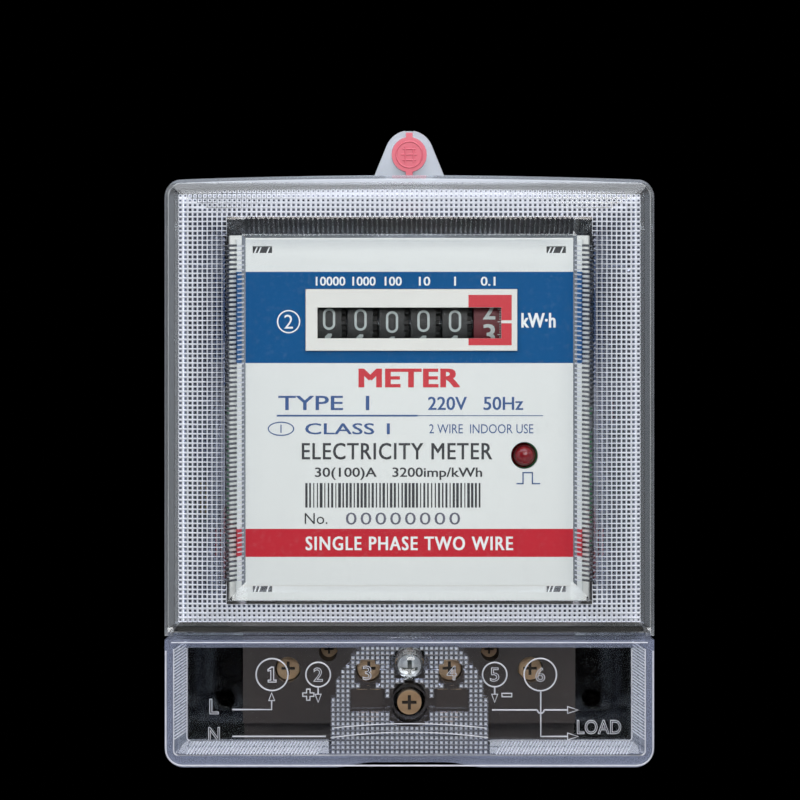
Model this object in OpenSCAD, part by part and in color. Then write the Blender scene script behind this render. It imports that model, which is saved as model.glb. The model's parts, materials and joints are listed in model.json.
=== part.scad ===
// Wall-mounted single-phase electricity meter in a clear case.
// X runs across the case, Y runs back towards the wall, Z runs up.
// The origin is the middle of the hanging hole, on the wall face.
// Depths in this file are counted forwards from the wall.

/* [Case] */
// Width of the case
case_w = 115; // [112:1:140]
// Height of the case, terminal cover included, sealing lug left out
case_h = 138.7; // [137:0.1:170]
// Depth of the case from the wall to the crest of the main cover
case_d = 56; // [54:1:70]
// Height at which the main cover starts
cover_z = 30.5; // [30:0.1:32]
// Wall thickness of the mouldings
wall = 2; // [1.6:0.1:2.4]
// Depth of the base tray
base_d = 22; // [20:0.5:24]
// Radius of the upper corners
corner_r = 4; // [2:0.5:6]
// Rise of the crowned top edge
crown = 1; // [0.2:0.1:2]
// Gap between two mouldings that part
seam = 0.3; // [0.2:0.05:0.5]

/* [Window] */
// Width of the flat window in the main cover
window_w = 76.8; // [70:0.2:78]
// Height of the flat window in the main cover
window_h = 80.7; // [70:0.1:82]
// How far the window lies behind the crest
window_sink = 4.5; // [2:0.5:6]
// Width of the bevel around the window
window_bevel = 4.1; // [2:0.1:5]
// Width of the raised shoulder over which the cover rounds off
shoulder = 3.9; // [2:0.1:5]

/* [Sealing lug] */
// Radius of the sealing lug
lug_r = 5.8; // [5.4:0.1:7]
// Height of the lug's centre over the case
lug_rise = 5.7; // [5:0.1:8]
// Half width of the lug where it meets the case
lug_foot = 8.6; // [7:0.1:11]
// Depth of the front of the lug
lug_d = 40; // [36:1:46]
// Radius of the seal plug
plug_r = 4.15; // [3.8:0.05:4.4]
// Length of the seal plug
plug_len = 6.5; // [4:0.5:8]

/* [Terminal cover] */
// How far the terminal cover is narrower than the case
term_narrow = 0.5; // [0:0.1:1]
// Radius of its lower corners
term_corner_r = 4.5; // [2:0.5:6]
// How far its front stays behind the crest of the main cover
term_behind = 2; // [1:0.5:3]
// How far its window lies behind its rim
term_sink = 2.8; // [1:0.1:3.2]
// Rise of the notch in the middle of its lower edge
notch_h = 1.2; // [0.4:0.1:1.6]
// Half width of the arched middle part
arch_w = 18.8; // [16:0.2:21]
// Height at which the arch starts to close
arch_z = 13; // [11:0.5:15]
// Rise of the arch over that height
arch_h = 19.5; // [18:0.5:24]
// Width of a seal wire slot
slot_w = 7.1; // [5:0.1:8]
// Height of a seal wire slot
slot_h = 4.4; // [4.2:0.1:5]
// Distance from the middle to a seal wire slot
slot_x = 6.3; // [6.1:0.1:7]

/* [Terminals] */
// Distance between neighbouring main terminals
terminal_pitch = 19.5; // [18.8:0.1:19.8]
// Radius of a main terminal's wire hole
wire_r = 4.2; // [3.5:0.1:4.4]
// Radius of a pulse terminal's wire hole
pulse_wire_r = 1.6; // [1.2:0.1:1.9]
// Depth of the wire holes' axis
wire_d = 14; // [13.5:0.1:14.5]
// Width of the terminal block
block_w = 80; // [78:0.5:81]
// Depth of the front of the terminal block
block_d = 33; // [32:0.5:34]
// Height of the top of the terminal block
block_top = 42; // [41:0.5:43]
// Height of the main clamp screws
clamp_z = 21; // [18:0.5:22]
// Height of the pulse clamp screws
pulse_clamp_z = 25.2; // [20:0.2:26]
// Radius of a main clamp screw
clamp_r = 2.45; // [2:0.05:2.6]
// Radius of a pulse clamp screw
pulse_clamp_r = 1.45; // [1.2:0.05:1.5]

/* [Dial] */
// Width of the nameplate
plate_w = 81.8; // [78:0.2:86]
// Height of the nameplate
plate_h = 84.9; // [82:0.1:88]
// Thickness of the nameplate
plate_t = 1; // [0.5:0.1:1.5]
// Gap between the window and the nameplate
plate_gap = 3.5; // [2.5:0.5:5]
// Width of the register opening
dial_w = 43.4; // [42.6:0.2:44.4]
// Height of the register opening
dial_h = 7.3; // [6:0.1:8]
// Width of the register bezel
bezel_w = 49.9; // [47:0.1:52]
// Height of the register bezel
bezel_h = 14.5; // [12:0.1:16]
// How far the middle of the bezel lies above that of its window
bezel_rise = 0.7; // [0:0.1:1.5]
// How far the middle of the bezel lies right of that of its window
bezel_side = 0.5; // [0:0.1:1.5]
// Distance of the register's axis below the top of the nameplate
dial_drop = 19.7; // [18:0.1:22]
// Radius of the pulse light
led_r = 2.5; // [2:0.1:2.8]

/* [Register] */
// Radius of the number drums
drum_r = 9.7; // [9.4:0.1:10]
// Width of a number drum
drum_w = 5.9; // [5.6:0.1:6]
// Distance between neighbouring drums
drum_pitch = 7.45; // [7.3:0.05:7.6]
// Width of the tenths drum
tenths_w = 7.2; // [6.6:0.1:7.4]
// Radius of the drum shaft
shaft_r = 1.25; // [1:0.05:1.5]
// Radius of the pinion shaft and of the idler stub
pin_r = 0.8; // [0.7:0.05:0.9]
// Radial running clearance of everything that turns
run = 0.05; // [0.03:0.01:0.08]
// Direction from the drum shaft to the pinion shaft, in degrees up from the wall side
pinion_dir = 35; // [25:1:45]
// Direction from the drum shaft to the idler, in degrees up from the wall side
idler_dir = -32; // [-38:1:-26]
// Direction from the idler to the motor, in degrees up from the wall side
motor_dir = -57; // [-65:1:-50]

/* [Circuit board] */
// Width of the circuit board
board_w = 87; // [84:1:90]
// Height of the circuit board
board_h = 34; // [32:0.5:35]
// Distance of the board over the terminal block
board_rise = 8; // [7:0.5:8]
// Depth of the back of the circuit board
board_d = 16; // [14:0.5:17]
// Thickness of the circuit board
board_t = 1.6; // [1:0.1:2]

/* [Mounting] */
// Radius of the hanging hole's entry
hang_r = 4.5; // [4:0.1:5]
// Half width of the hanging slot
hang_slot = 2.4; // [2:0.1:2.8]
// How far the slot rises over the entry's centre
hang_rise = 7; // [5:0.5:8]
// Distance of the hanging hole below the top of the case
hang_drop = 16.7; // [15:0.1:18]
// Distance between the lower mounting holes
mount_pitch = 92; // [91:0.5:93]
// Height of the lower mounting holes
mount_z = 11; // [9:0.5:13]
// Radius of a lower mounting hole
mount_r = 2.6; // [2:0.1:3]

/* [Hidden] */
$fn = 48;
tiny = 0.01;

// Levels
hang_z = case_h - hang_drop;
lug_z = case_h + lug_rise;
rim_d = base_d + seam;
window_d = case_d - window_sink;
window_in = window_d - wall;
plate_front = window_in - plate_gap;
plate_back = plate_front - plate_t;
plate_drop = 14.9;
plate_top = case_h - plate_drop;
plate_z = plate_top - plate_h / 2;
carrier_t = 2;
carrier_back = plate_back - carrier_t;
inset = 0.5;
gasket_w = 1;
gasket_t = 0.8;
base_inner = case_w / 2 - inset - wall;

// Terminal cover
term_w = case_w - term_narrow;
term_top = cover_z - 0.7;
term_d = case_d - term_behind;
term_wall = 1.8;
term_window_d = term_d - term_sink;
term_window_in = term_window_d - 1.6;
term_rim = 2.3;
term_bevel = 3;
term_lip_d = term_window_in - 6.6;
notch_in = 9;
notch_out = 17;

// Screws that hold the covers
seal_z = 14.7;
slot_z = 13.9;
clear_disc = [9.9, 22.1, 2.9];
bubble_r = 4.4;
cover_screw_z = cover_z - 5.9;
well_r = 4.25;
well_wall = 1.5;
well_floor = term_d - 8;
floor_t = 2;
pillar_r = 3.7;
seal_pillar_d = well_floor - floor_t - seam;
tab_r = 5.2;
tab_back = block_d + 3.5;
tab_t = 3;
tab_pillar_d = tab_back - seam;
small_screw = [1.5, 2.9, 2.2];
seal_screw_size = [1.95, 2.85, 2.4];
screw_free = 0.15;
screw_seat = 0.1;
recess_t = 0.9;

// Terminal block and terminals
block_z = 3.5;
block_back = wall + inset;
ledge_z = 8.1;
ledge_d = block_d - 6;
insert_w = 10.5;
insert_z = 6;
insert_top = 30;
insert_front = wire_d + 7.5;
insert_back = wire_d - 5.5;
bore_top = 28;
block_gap = 0.1;
tab_w = 6;
strip_t = 2;
tab_top = block_top + 5.5;
clamp_head = [2.75, 3];
clamp_head_d = insert_front + 5.5;
clamp_rest = 0.3;
pulse_w = 6;
pulse_z = 8;
pulse_front = wire_d + 4;
pulse_back = wire_d - 3.5;
pulse_head = [1.9, 2.2];
pulse_head_d = pulse_front + 5;
pulse_tab = 1;
terminal_x = [for (k = [-1.5, -0.5, 0.5, 1.5]) k * terminal_pitch];
pulse_x = [-terminal_pitch, terminal_pitch];
ear_z = [34, 41];
ear_w = 5.5;
ear_t = 4.5;
ear_hole = 2.6;

// Circuit board and what stands on it
board_z = block_top + board_rise;
board_front = board_d + board_t;
board_hole = [board_w / 2 - 5, board_h / 2 - 4];
post_r = 2.6;
board_screw = [1.2, 2.2, 1.6];
led_x = 27.2;
led_rise = 22.8;
led_z = board_z + led_rise;
led_flange_r = led_r + 0.4;
led_tip = plate_front + 0.5;
led_base = led_tip - led_r - 4;
lead_r = 0.25;
lead_gap = 1.27;

// Dial carrier
carrier_w = plate_w + 2;
carrier_h = plate_h + 2;
carrier_post = [plate_w / 2 - 4, plate_h / 2 - 7.1];
carrier_post_r = 3.2;
carrier_boss = 5;
carrier_seat = plate_back - 2.1;
carrier_screw = [1.4, 2.6, 1.9];
// The lower posts stay under the circuit board, and the carrier reaches down to them
post_low = min(plate_z - carrier_post[1], board_z - carrier_post_r - 0.8);
post_z = [post_low, plate_z + carrier_post[1]];
carrier_low = post_low + carrier_post[1] - carrier_h / 2;
carrier_top = plate_z + carrier_h / 2;

// Register
drum_z = plate_top - dial_drop;
drum_d = plate_back - 0.4 - drum_r;
first_x = -19;
drum_gap = drum_pitch - drum_w;
tenths_x = first_x + 4 * drum_pitch + drum_w / 2 + drum_gap + tenths_w / 2;
drum_x = [for (k = [0:4]) first_x + k * drum_pitch];
drum_axis = [-drum_d, drum_z];
gear_t = 1;
drive_t = 1.4;
carry_module = 0.8;
carry_teeth = 20;
pinion_teeth = 8;
drive_module = 0.4;
drive_teeth = 40;
idler_teeth = 10;
motor_module = 0.3;
wheel_teeth = 40;
motor_teeth = 10;
pinion_axis = drum_axis + polar(carry_module * (carry_teeth + pinion_teeth) / 2, pinion_dir);
idler_axis = drum_axis + polar(drive_module * (drive_teeth + idler_teeth) / 2, idler_dir);
motor_axis = idler_axis + polar(motor_module * (wheel_teeth + motor_teeth) / 2, motor_dir);
drive_x = tenths_x + tenths_w / 2;
wheel_x = drive_x + 1.8;
cheek_t = 1.3;
cheek_right = wheel_x + 1.4;
cheek_left = drum_x[0] - drum_w / 2 - 0.5 - cheek_t;
cheek_back = board_front + 0.8;
motor_r = 6;
motor_len = 9;
rotor_r = 4.4;
rotor_shaft_r = 0.6;

function polar(r, a) = r * [cos(a), sin(a)];
function arc(x, z, r, from, to, steps = 8) =
  [for (k = [0:steps]) [x, z] + polar(r, from + (to - from) * k / steps)];

// Outline of the case seen from the front, drawn in by e
function case_outline(e, low) = let (w = case_w / 2 - e, top = case_h - e, r = max(corner_r - e, 0.5))
  concat([[-w, low], [w, low]],
    arc(w - r, top - crown - r, r, 0, 80),
    [for (k = [5:-1:-5]) let (x = k / 5 * (w - r) * 0.96) [x, top - crown * pow(x / (w - r), 2)]],
    arc(-w + r, top - crown - r, r, 100, 180));

// Outline of the terminal cover seen from the front, drawn in by e
function notch(x) = abs(x) <= notch_in ? notch_h
  : abs(x) >= notch_out ? 0
  : notch_h * (1 + cos(180 * (abs(x) - notch_in) / (notch_out - notch_in))) / 2;
function term_outline(e) = let (w = term_w / 2 - e, r = term_corner_r - e)
  concat(arc(-w + r, e + r, r, 180, 270),
    [for (k = [-8:8]) let (x = k / 8 * notch_out) [x, e + notch(x)]],
    arc(w - r, e + r, r, 270, 360),
    [[w, term_top - e], [-w, term_top - e]]);

// Outline of the arched middle part of the terminal cover, drawn in by e
function arch_outline(e) = let (a = arch_w - e, b = arch_h - e, top = term_top - 0.2 - e)
  concat([[-a, term_rim + e], [a, term_rim + e]],
    [for (k = [0:10]) let (t = k / 10 * asin((top - arch_z) / b)) [a * cos(t), arch_z + b * sin(t)]],
    [for (k = [10:-1:0]) let (t = k / 10 * asin((top - arch_z) / b)) [-a * cos(t), arch_z + b * sin(t)]]);

// Outline of a spur gear with involute flanks, cut short and thin to leave backlash
function involute(a) = tan(a) * 180 / PI - a;
function half_tooth(r, pitch_r, base_r, teeth, thin) =
  90 / teeth - thin * 90 / (PI * pitch_r) + involute(20) - involute(acos(min(1, base_r / r)));
function gear_outline(module_, teeth, tip, root, thin) =
  let (pitch_r = module_ * teeth / 2, base_r = pitch_r * cos(20), low = max(base_r, pitch_r - root),
    flank = [for (k = [0:2]) low + (pitch_r + tip - low) * k / 2],
    radii = pitch_r - root < base_r ? concat([pitch_r - root], flank) : flank,
    halves = [for (r = radii) half_tooth(max(r, base_r), pitch_r, base_r, teeth, thin)], n = len(radii))
  [for (t = [0:teeth - 1]) for (k = [0:2 * n - 1]) let (i = k < n ? k : 2 * n - 1 - k)
    polar(radii[i], 360 * t / teeth + (k < n ? -1 : 1) * halves[i])];

// Puts a sub-part, drawn with its height counted from the lower edge, in the frame
module from_hook() translate([0, 0, -hang_z]) children();

// Extrudes an outline seen from the front between two depths
module front(from, to) translate([0, -from, 0]) rotate([90, 0, 0]) linear_extrude(to - from) children();

// Extrudes an outline seen from the right between two places across the case
module across(from, to) translate([from, 0, 0]) rotate([90, 0, 90]) linear_extrude(to - from) children();

// A box between two corners given as [x, depth, z]
module block(a, b) translate([a[0], -b[1], a[2]]) cube([b[0] - a[0], b[1] - a[1], b[2] - a[2]]);

// A disc seen from the front
module disc(x, z, r) translate([x, z]) circle(r);

module both() {
  children();
  mirror([1, 0, 0]) children();
}

// The sealing lug's outline, with flanks tangent to its round top
module lug_outline() {
  reach = norm([lug_foot, lug_rise]);
  touch = polar(lug_r, acos(lug_r / reach) - atan2(lug_rise, lug_foot));
  disc(0, lug_z, lug_r);
  polygon([[-lug_foot, case_h - 1.5], [lug_foot, case_h - 1.5], [lug_foot, case_h],
    [touch[0], lug_z + touch[1]], [-touch[0], lug_z + touch[1]], [-lug_foot, case_h]]);
}

// A cross-recess screw seen from the front: its size is [shank, head, head height]
module screw(x, z, seat, tip, size) difference() {
  union() {
    front(tip, seat) disc(x, z, size[0]);
    front(seat, seat + size[2]) disc(x, z, size[1]);
  }
  for (w = [[1, 0.22], [0.22, 1]])
    block([x - w[0] * size[1] * 0.6, seat + size[2] - recess_t, z - w[1] * size[1] * 0.6],
      [x + w[0] * size[1] * 0.6, seat + size[2] + tiny, z + w[1] * size[1] * 0.6]);
}

// Tray that the meter is built in, with its lug, posts and pillars
module base() color([0.82, 0.86, 0.88, 0.4]) from_hook() difference() {
  union() {
    front(0, wall + inset) base_outline(0);
    front(0, base_d) difference() {
      base_outline(0);
      base_outline(wall);
    }
    front(0, base_d) lug_outline();
    both() block([block_w / 2 + seam, 1, cover_z], [base_inner + tiny, base_d, cover_z + wall]);
    front(wall, seal_pillar_d) disc(0, seal_z, pillar_r);
    front(wall, tab_pillar_d) disc(0, cover_screw_z, pillar_r);
    both() for (s = [-1, 1])
      front(wall, board_d) disc(board_hole[0], board_z + board_h / 2 + s * board_hole[1], post_r);
    both() for (z = post_z)
      front(wall, carrier_back - carrier_boss) disc(carrier_post[0], z, carrier_post_r);
    front(wall, 6) disc(-mount_pitch / 2, mount_z, 4.3);
    front(wall, 6) for (s = [-0.85, 0.85]) disc(mount_pitch / 2, mount_z + s, 4.3);
    block([-hang_r - 3, 1, hang_z - hang_r - 3], [hang_r + 3, 9.5, hang_z + hang_rise + hang_slot + 3]);
  }
  // Screw holes
  front(6, base_d + 1) disc(0, lug_z, small_screw[0] + run);
  front(seal_pillar_d - 16, seal_pillar_d + 1) disc(0, seal_z, seal_screw_size[0] + run);
  front(tab_pillar_d - 12, tab_pillar_d + 1) disc(0, cover_screw_z, small_screw[0] + run);
  both() for (s = [-1, 1]) front(5, board_d + 1)
    disc(board_hole[0], board_z + board_h / 2 + s * board_hole[1], board_screw[0] + run);
  both() for (z = post_z) front(24, carrier_back) disc(carrier_post[0], z, carrier_screw[0] + run);
  both() front(0.8, 4) disc(block_w / 2 + 2.6, (ear_z[0] + ear_z[1]) / 2, board_screw[0] + run);
  // Mounting holes
  both() front(-1, 7) disc(mount_pitch / 2, mount_z, mount_r);
  front(-1, 8) disc(0, hang_z, hang_r);
  front(-1, 8) translate([-hang_slot, hang_z]) square([2 * hang_slot, hang_rise]);
  front(-1, 8) disc(0, hang_z + hang_rise, hang_slot);
  block([-hang_r - 1.5, wall + inset, hang_z - hang_r - 1.5],
    [hang_r + 1.5, 8, hang_z + hang_rise + hang_slot + 1.5]);
  front(base_d - gasket_t, base_d + 1) gasket_outline(gasket_w);
  // Way in for the wires
  block([-block_w / 2, wall + inset, -1], [block_w / 2, base_d + 1, block_z + 1]);
}

module base_outline(e) {
  polygon(case_outline(inset + e, cover_z));
  intersection() {
    polygon(term_outline(inset + e));
    translate([-case_w, 0]) square([2 * case_w, cover_z]);
  }
  if (e == 0) translate([-term_w / 2 + inset, cover_z - 2]) square([term_w - 2 * inset, 3]);
  else translate([-base_inner + 1, cover_z - 5]) square([2 * base_inner - 2, 6]);
}

// Soft strip let into the tray's rim, under the main cover's edge
module gasket_outline(wide) difference() {
  polygon(case_outline(inset + (wall - wide) / 2, cover_z + (wall - wide) / 2));
  polygon(case_outline(inset + (wall + wide) / 2, cover_z + (wall + wide) / 2));
  translate([-block_w / 2 - 2 * seam, 0]) square([block_w + 4 * seam, cover_z + wall]);
}
module gasket() color([0.75, 0.76, 0.76]) from_hook()
  front(base_d - gasket_t, base_d) gasket_outline(gasket_w);

// The main cover's domed body, drawn in by e
module cover_body(e) hull() {
  front(rim_d - e, case_d - 6 - e) polygon(case_outline(e, cover_z + e));
  for (p = [[1, 3], [shoulder, 1.4]])
    front(case_d - p[1] - e - tiny, case_d - p[1] - e) polygon(case_outline(e + p[0], cover_z + e + p[0]));
  front(case_d - e - tiny, case_d - e) window_outline(window_bevel);
}
module window_outline(e) translate([-window_w / 2 - e, plate_z + 2.2 - window_h / 2 - e])
  square([window_w + 2 * e, window_h + 2 * e]);

// The recess in front of the window, grown by e
module window_recess(e) hull() {
  front(case_d + wall, case_d + wall + tiny) window_outline(window_bevel * (1 + wall / window_sink) + e);
  front(window_d - e, window_d - e + tiny) window_outline(e);
}

module main_cover() color([0.85, 0.9, 0.93, 0.35]) from_hook() {
  difference() {
    cover_body(0);
    window_recess(0);
    difference() {
      cover_body(wall);
      window_recess(wall);
    }
    block([-block_w / 2 - seam, base_d, cover_z - 1],
      [block_w / 2 + seam, block_d + seam, cover_z + wall + 1]);
  }
  difference() {
    front(rim_d, lug_d) difference() {
      lug_outline();
      polygon(case_outline(wall / 2, cover_z));
    }
    front(base_d, lug_d) disc(0, lug_z, small_screw[0] + screw_free);
    front(lug_d - 12, lug_d + 1) disc(0, lug_z, plug_r + run);
    block([-1, lug_d - 1.8, lug_z - lug_r - 1], [1, lug_d + 1, lug_z + lug_r + 1]);
  }
  difference() {
    front(tab_back, tab_back + tab_t) {
      disc(0, cover_screw_z, tab_r);
      translate([-tab_r, cover_screw_z]) square([2 * tab_r, cover_z + 1 - cover_screw_z]);
    }
    front(tab_back - 1, tab_back + tab_t + 1) disc(0, cover_screw_z, small_screw[0] + screw_free);
  }
}

module terminal_cover() color([0.85, 0.9, 0.93, 0.35]) from_hook() difference() {
  union() {
    difference() {
      union() {
        front(rim_d, term_d - 1) polygon(term_outline(0));
        front(term_d - 1, term_d) polygon(term_outline(0.8));
      }
      front(rim_d - 1, term_window_in) polygon(term_outline(term_wall));
      block([-term_w / 2 + term_wall, rim_d - 1, term_top - 3],
        [term_w / 2 - term_wall, term_lip_d, term_top + 1]);
      hull() {
        front(term_d + tiny, term_d + 2 * tiny) term_window(term_bevel);
        front(term_window_d, term_window_d + tiny) term_window(0);
      }
    }
    front(term_window_in, term_d) polygon(arch_outline(0));
    front(well_floor - floor_t, term_d) disc(0, seal_z, well_r + well_wall);
    intersection() {
      translate([0, -term_d + 2.6, cover_screw_z]) sphere(bubble_r);
      front(term_d - 1, term_d + 3) disc(0, cover_screw_z, 6);
    }
  }
  difference() {
    front(term_window_in - 1, term_d - 1.6) polygon(arch_outline(1.6));
    front(well_floor - floor_t, term_d) disc(0, seal_z, well_r + well_wall);
  }
  front(well_floor, term_d + 1) disc(0, seal_z, well_r);
  front(well_floor - 3, term_d) disc(0, seal_z, seal_screw_size[0] + screw_free);
  both() {
    front(term_d - 0.6, term_d + 1) disc(clear_disc[0], clear_disc[1], clear_disc[2]);
    front(term_window_in - 1, term_d + 1) translate([slot_x, slot_z]) square([slot_w, slot_h]);
  }
}
module term_window(e) {
  w = term_w / 2 - term_rim - term_bevel;
  translate([-w - e, term_rim + term_bevel + 1 - e])
    square([2 * (w + e), term_top - 1.7 - term_rim - term_bevel - 1 + e]);
}

// Plastic plug that hides the lug's screw, with two ears to grip
module seal_plug() color([0.93, 0.35, 0.42]) from_hook() {
  front(lug_d + 0.6 - plug_len, lug_d + 0.6) disc(0, lug_z, plug_r);
  front(lug_d - 1.4, lug_d + 0.6) translate([-0.8, lug_z - 5.2]) square([1.6, 10.4]);
}

module lug_screw() color("silver") from_hook()
  screw(0, lug_z, lug_d - 12 + screw_seat, base_d - 12, small_screw);
module cover_screw() color("silver") from_hook()
  screw(0, cover_screw_z, tab_back + tab_t + screw_seat, tab_pillar_d - 10, small_screw);

// Sealing screw, with a cross hole in its head for the seal wire
module seal_screw() color([0.83, 0.68, 0.35]) from_hook() difference() {
  screw(0, seal_z, well_floor + screw_seat, seal_pillar_d - 14, seal_screw_size);
  translate([-5, -well_floor - 0.8, seal_z]) rotate([0, 90, 0]) cylinder(r = 0.4, h = 10);
}

// Moulded block that insulates the terminals
module terminal_block() color([0.22, 0.12, 0.08]) from_hook() difference() {
  union() {
    block([-block_w / 2, block_back, block_z], [block_w / 2, ledge_d, block_top]);
    block([-block_w / 2, block_back, ledge_z], [block_w / 2, block_d, block_top]);
    both() block([block_w / 2 - 1, block_back, ear_z[0]],
      [block_w / 2 + ear_w, block_back + ear_t, ear_z[1]]);
  }
  for (z = [seal_z, cover_screw_z]) front(0, block_d + 1) disc(0, z, pillar_r + seam);
  for (x = terminal_x) {
    block([x - insert_w / 2 - block_gap, insert_back - block_gap, insert_z - block_gap],
      [x + insert_w / 2 + block_gap, insert_front + block_gap, insert_top + block_gap]);
    block([x - tab_w / 2 - block_gap, wire_d - strip_t / 2 - block_gap, insert_top],
      [x + tab_w / 2 + block_gap, wire_d + strip_t / 2 + block_gap, block_top + 1]);
    translate([x, -wire_d, block_z - 1]) cylinder(r = wire_r + 0.4, h = 5);
    front(insert_front, block_d + 1) disc(x, clamp_z, clamp_head[0] + 0.3);
  }
  for (x = pulse_x) {
    block([x - pulse_w / 2 - block_gap, pulse_back - block_gap, pulse_z - block_gap],
      [x + pulse_w / 2 + block_gap, pulse_front + block_gap, insert_top + block_gap]);
    block([x - pulse_tab - block_gap, wire_d - pulse_tab - block_gap, insert_top],
      [x + pulse_tab + block_gap, wire_d + pulse_tab + block_gap, block_top + 1]);
    translate([x, -wire_d, block_z - 1]) cylinder(r = pulse_wire_r + 0.4, h = 7);
    front(pulse_front, block_d + 1) disc(x, pulse_clamp_z, pulse_head[0] + 0.3);
  }
  both() front(0, block_back + ear_t + 1)
    disc(block_w / 2 + ear_hole, (ear_z[0] + ear_z[1]) / 2, board_screw[0] + screw_free);
}

module block_screws() color("silver") from_hook() for (s = [-1, 1])
  screw(s * (block_w / 2 + ear_hole), (ear_z[0] + ear_z[1]) / 2, block_back + ear_t, 1, board_screw);

// Brass cage of a main terminal, with the tab that its strip is fixed to
module terminal(n) color([0.8, 0.62, 0.3]) from_hook() difference() {
  x = terminal_x[n];
  union() {
    block([x - insert_w / 2, insert_back, insert_z], [x + insert_w / 2, insert_front, insert_top]);
    block([x - tab_w / 2, wire_d - strip_t / 2, insert_top - 1],
      [x + tab_w / 2, wire_d + strip_t / 2, tab_top]);
  }
  translate([x, -wire_d, insert_z - 1]) cylinder(r = wire_r, h = bore_top - insert_z + 1);
  front(wire_d, insert_front + 1) disc(x, clamp_z, clamp_r + run);
}
module pulse_terminal(n) color([0.8, 0.62, 0.3]) from_hook() difference() {
  x = pulse_x[n];
  union() {
    block([x - pulse_w / 2, pulse_back, pulse_z], [x + pulse_w / 2, pulse_front, insert_top]);
    block([x - pulse_tab, wire_d - pulse_tab, insert_top - 1],
      [x + pulse_tab, wire_d + pulse_tab, block_top + 2]);
  }
  translate([x, -wire_d, pulse_z - 1]) cylinder(r = pulse_wire_r, h = bore_top - pulse_z + 1);
  front(wire_d, pulse_front + 1) disc(x, pulse_clamp_z, pulse_clamp_r + run);
}

// Clamp screws, backed out so that the wire holes are clear
module clamp_screw(n) color([0.83, 0.68, 0.35]) from_hook()
  screw(terminal_x[n], clamp_z, clamp_head_d, wire_d + wire_r + clamp_rest,
    [clamp_r, clamp_head[0], clamp_head[1]]);
module pulse_screw(n) color([0.83, 0.68, 0.35]) from_hook()
  screw(pulse_x[n], pulse_clamp_z, pulse_head_d, wire_d + pulse_wire_r + clamp_rest,
    [pulse_clamp_r, pulse_head[0], pulse_head[1]]);

// Measuring strip from terminal 1 to terminal 3: copper ends and a resistive middle with a waist
module current_shunt() color([0.72, 0.45, 0.3]) from_hook() difference() {
  block([terminal_x[0] - tab_w / 2, wire_d + strip_t / 2, block_top + 1],
    [terminal_x[1] + tab_w / 2, wire_d + 1.6 * strip_t, tab_top]);
  for (z = [block_top + 1, tab_top])
    translate([(terminal_x[0] + terminal_x[1]) / 2, -wire_d - 2 * strip_t, z])
      rotate([-90, 0, 0]) cylinder(r = 1.2, h = 2 * strip_t);
}
// Plain strip from terminal 4 to terminal 6
module neutral_link() color([0.72, 0.45, 0.3]) from_hook()
  block([terminal_x[2] - tab_w / 2, wire_d + strip_t / 2, block_top + 1],
    [terminal_x[3] + tab_w / 2, wire_d + 1.6 * strip_t, tab_top]);

module circuit_board() color([0.1, 0.45, 0.25]) from_hook() difference() {
  block([-board_w / 2, board_d, board_z], [board_w / 2, board_front, board_z + board_h]);
  both() for (s = [-1, 1])
    front(board_d - 1, board_front + 1)
      disc(board_hole[0], board_z + board_h / 2 + s * board_hole[1], board_screw[0] + screw_free);
}
module board_screws() color("silver") from_hook() for (s = [-1, 1], t = [-1, 1])
  screw(s * board_hole[0], board_z + board_h / 2 + t * board_hole[1], board_front, 7, board_screw);

// Pieces on the board, each standing on its front face
module on_board(x, z, size) translate([x, -board_front - size[1], board_z + z])
  cube(size);
module metering_chip() color([0.1, 0.1, 0.11]) from_hook() {
  on_board(-8, 13, [15, 2.3, 7.5]);
  for (k = [0:9], s = [-1.6, 7.5]) on_board(-7 + k * 1.4, 13 + s, [0.5, 0.6, 1.6]);
}
module supply_capacitor() color([0.85, 0.75, 0.2]) from_hook() on_board(-33, 8, [18, 15, 8]);
module smoothing_capacitor() color([0.15, 0.2, 0.4]) from_hook()
  front(board_front, board_front + 12) disc(14, board_z + 11, 4);
module varistor() color([0.2, 0.4, 0.7]) from_hook() on_board(-34, 20, [4, 9, 8]);
module optocoupler() color([0.92, 0.92, 0.9]) from_hook() on_board(30, 6, [4.6, 3.5, 6.4]);
module resistors() color([0.75, 0.62, 0.45]) from_hook() for (k = [0:4])
  translate([-26 + 4 * k, -board_front - 1.1, board_z + 24]) cylinder(r = 1.1, h = 6.5);
module crystal() color([0.8, 0.8, 0.82]) from_hook() on_board(-3.5, 25, [10, 3.5, 4]);

// Pulse light: a flanged lens on two long leads, held up by a tube
module pulse_led() color([0.6, 0.05, 0.08]) from_hook() {
  front(led_base, led_base + 1) disc(led_x, led_z, led_flange_r);
  front(led_base, led_tip - led_r) disc(led_x, led_z, led_r);
  translate([led_x, -(led_tip - led_r), led_z]) sphere(led_r);
}
module led_holder() color([0.12, 0.12, 0.13]) from_hook() front(board_front, led_base) difference() {
  disc(led_x, led_z, led_flange_r);
  disc(led_x, led_z, led_flange_r - 0.8);
}
module led_leads() color("silver") from_hook() for (s = [-1, 1])
  front(board_front, led_base) disc(led_x + s * lead_gap, led_z, lead_r);

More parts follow.
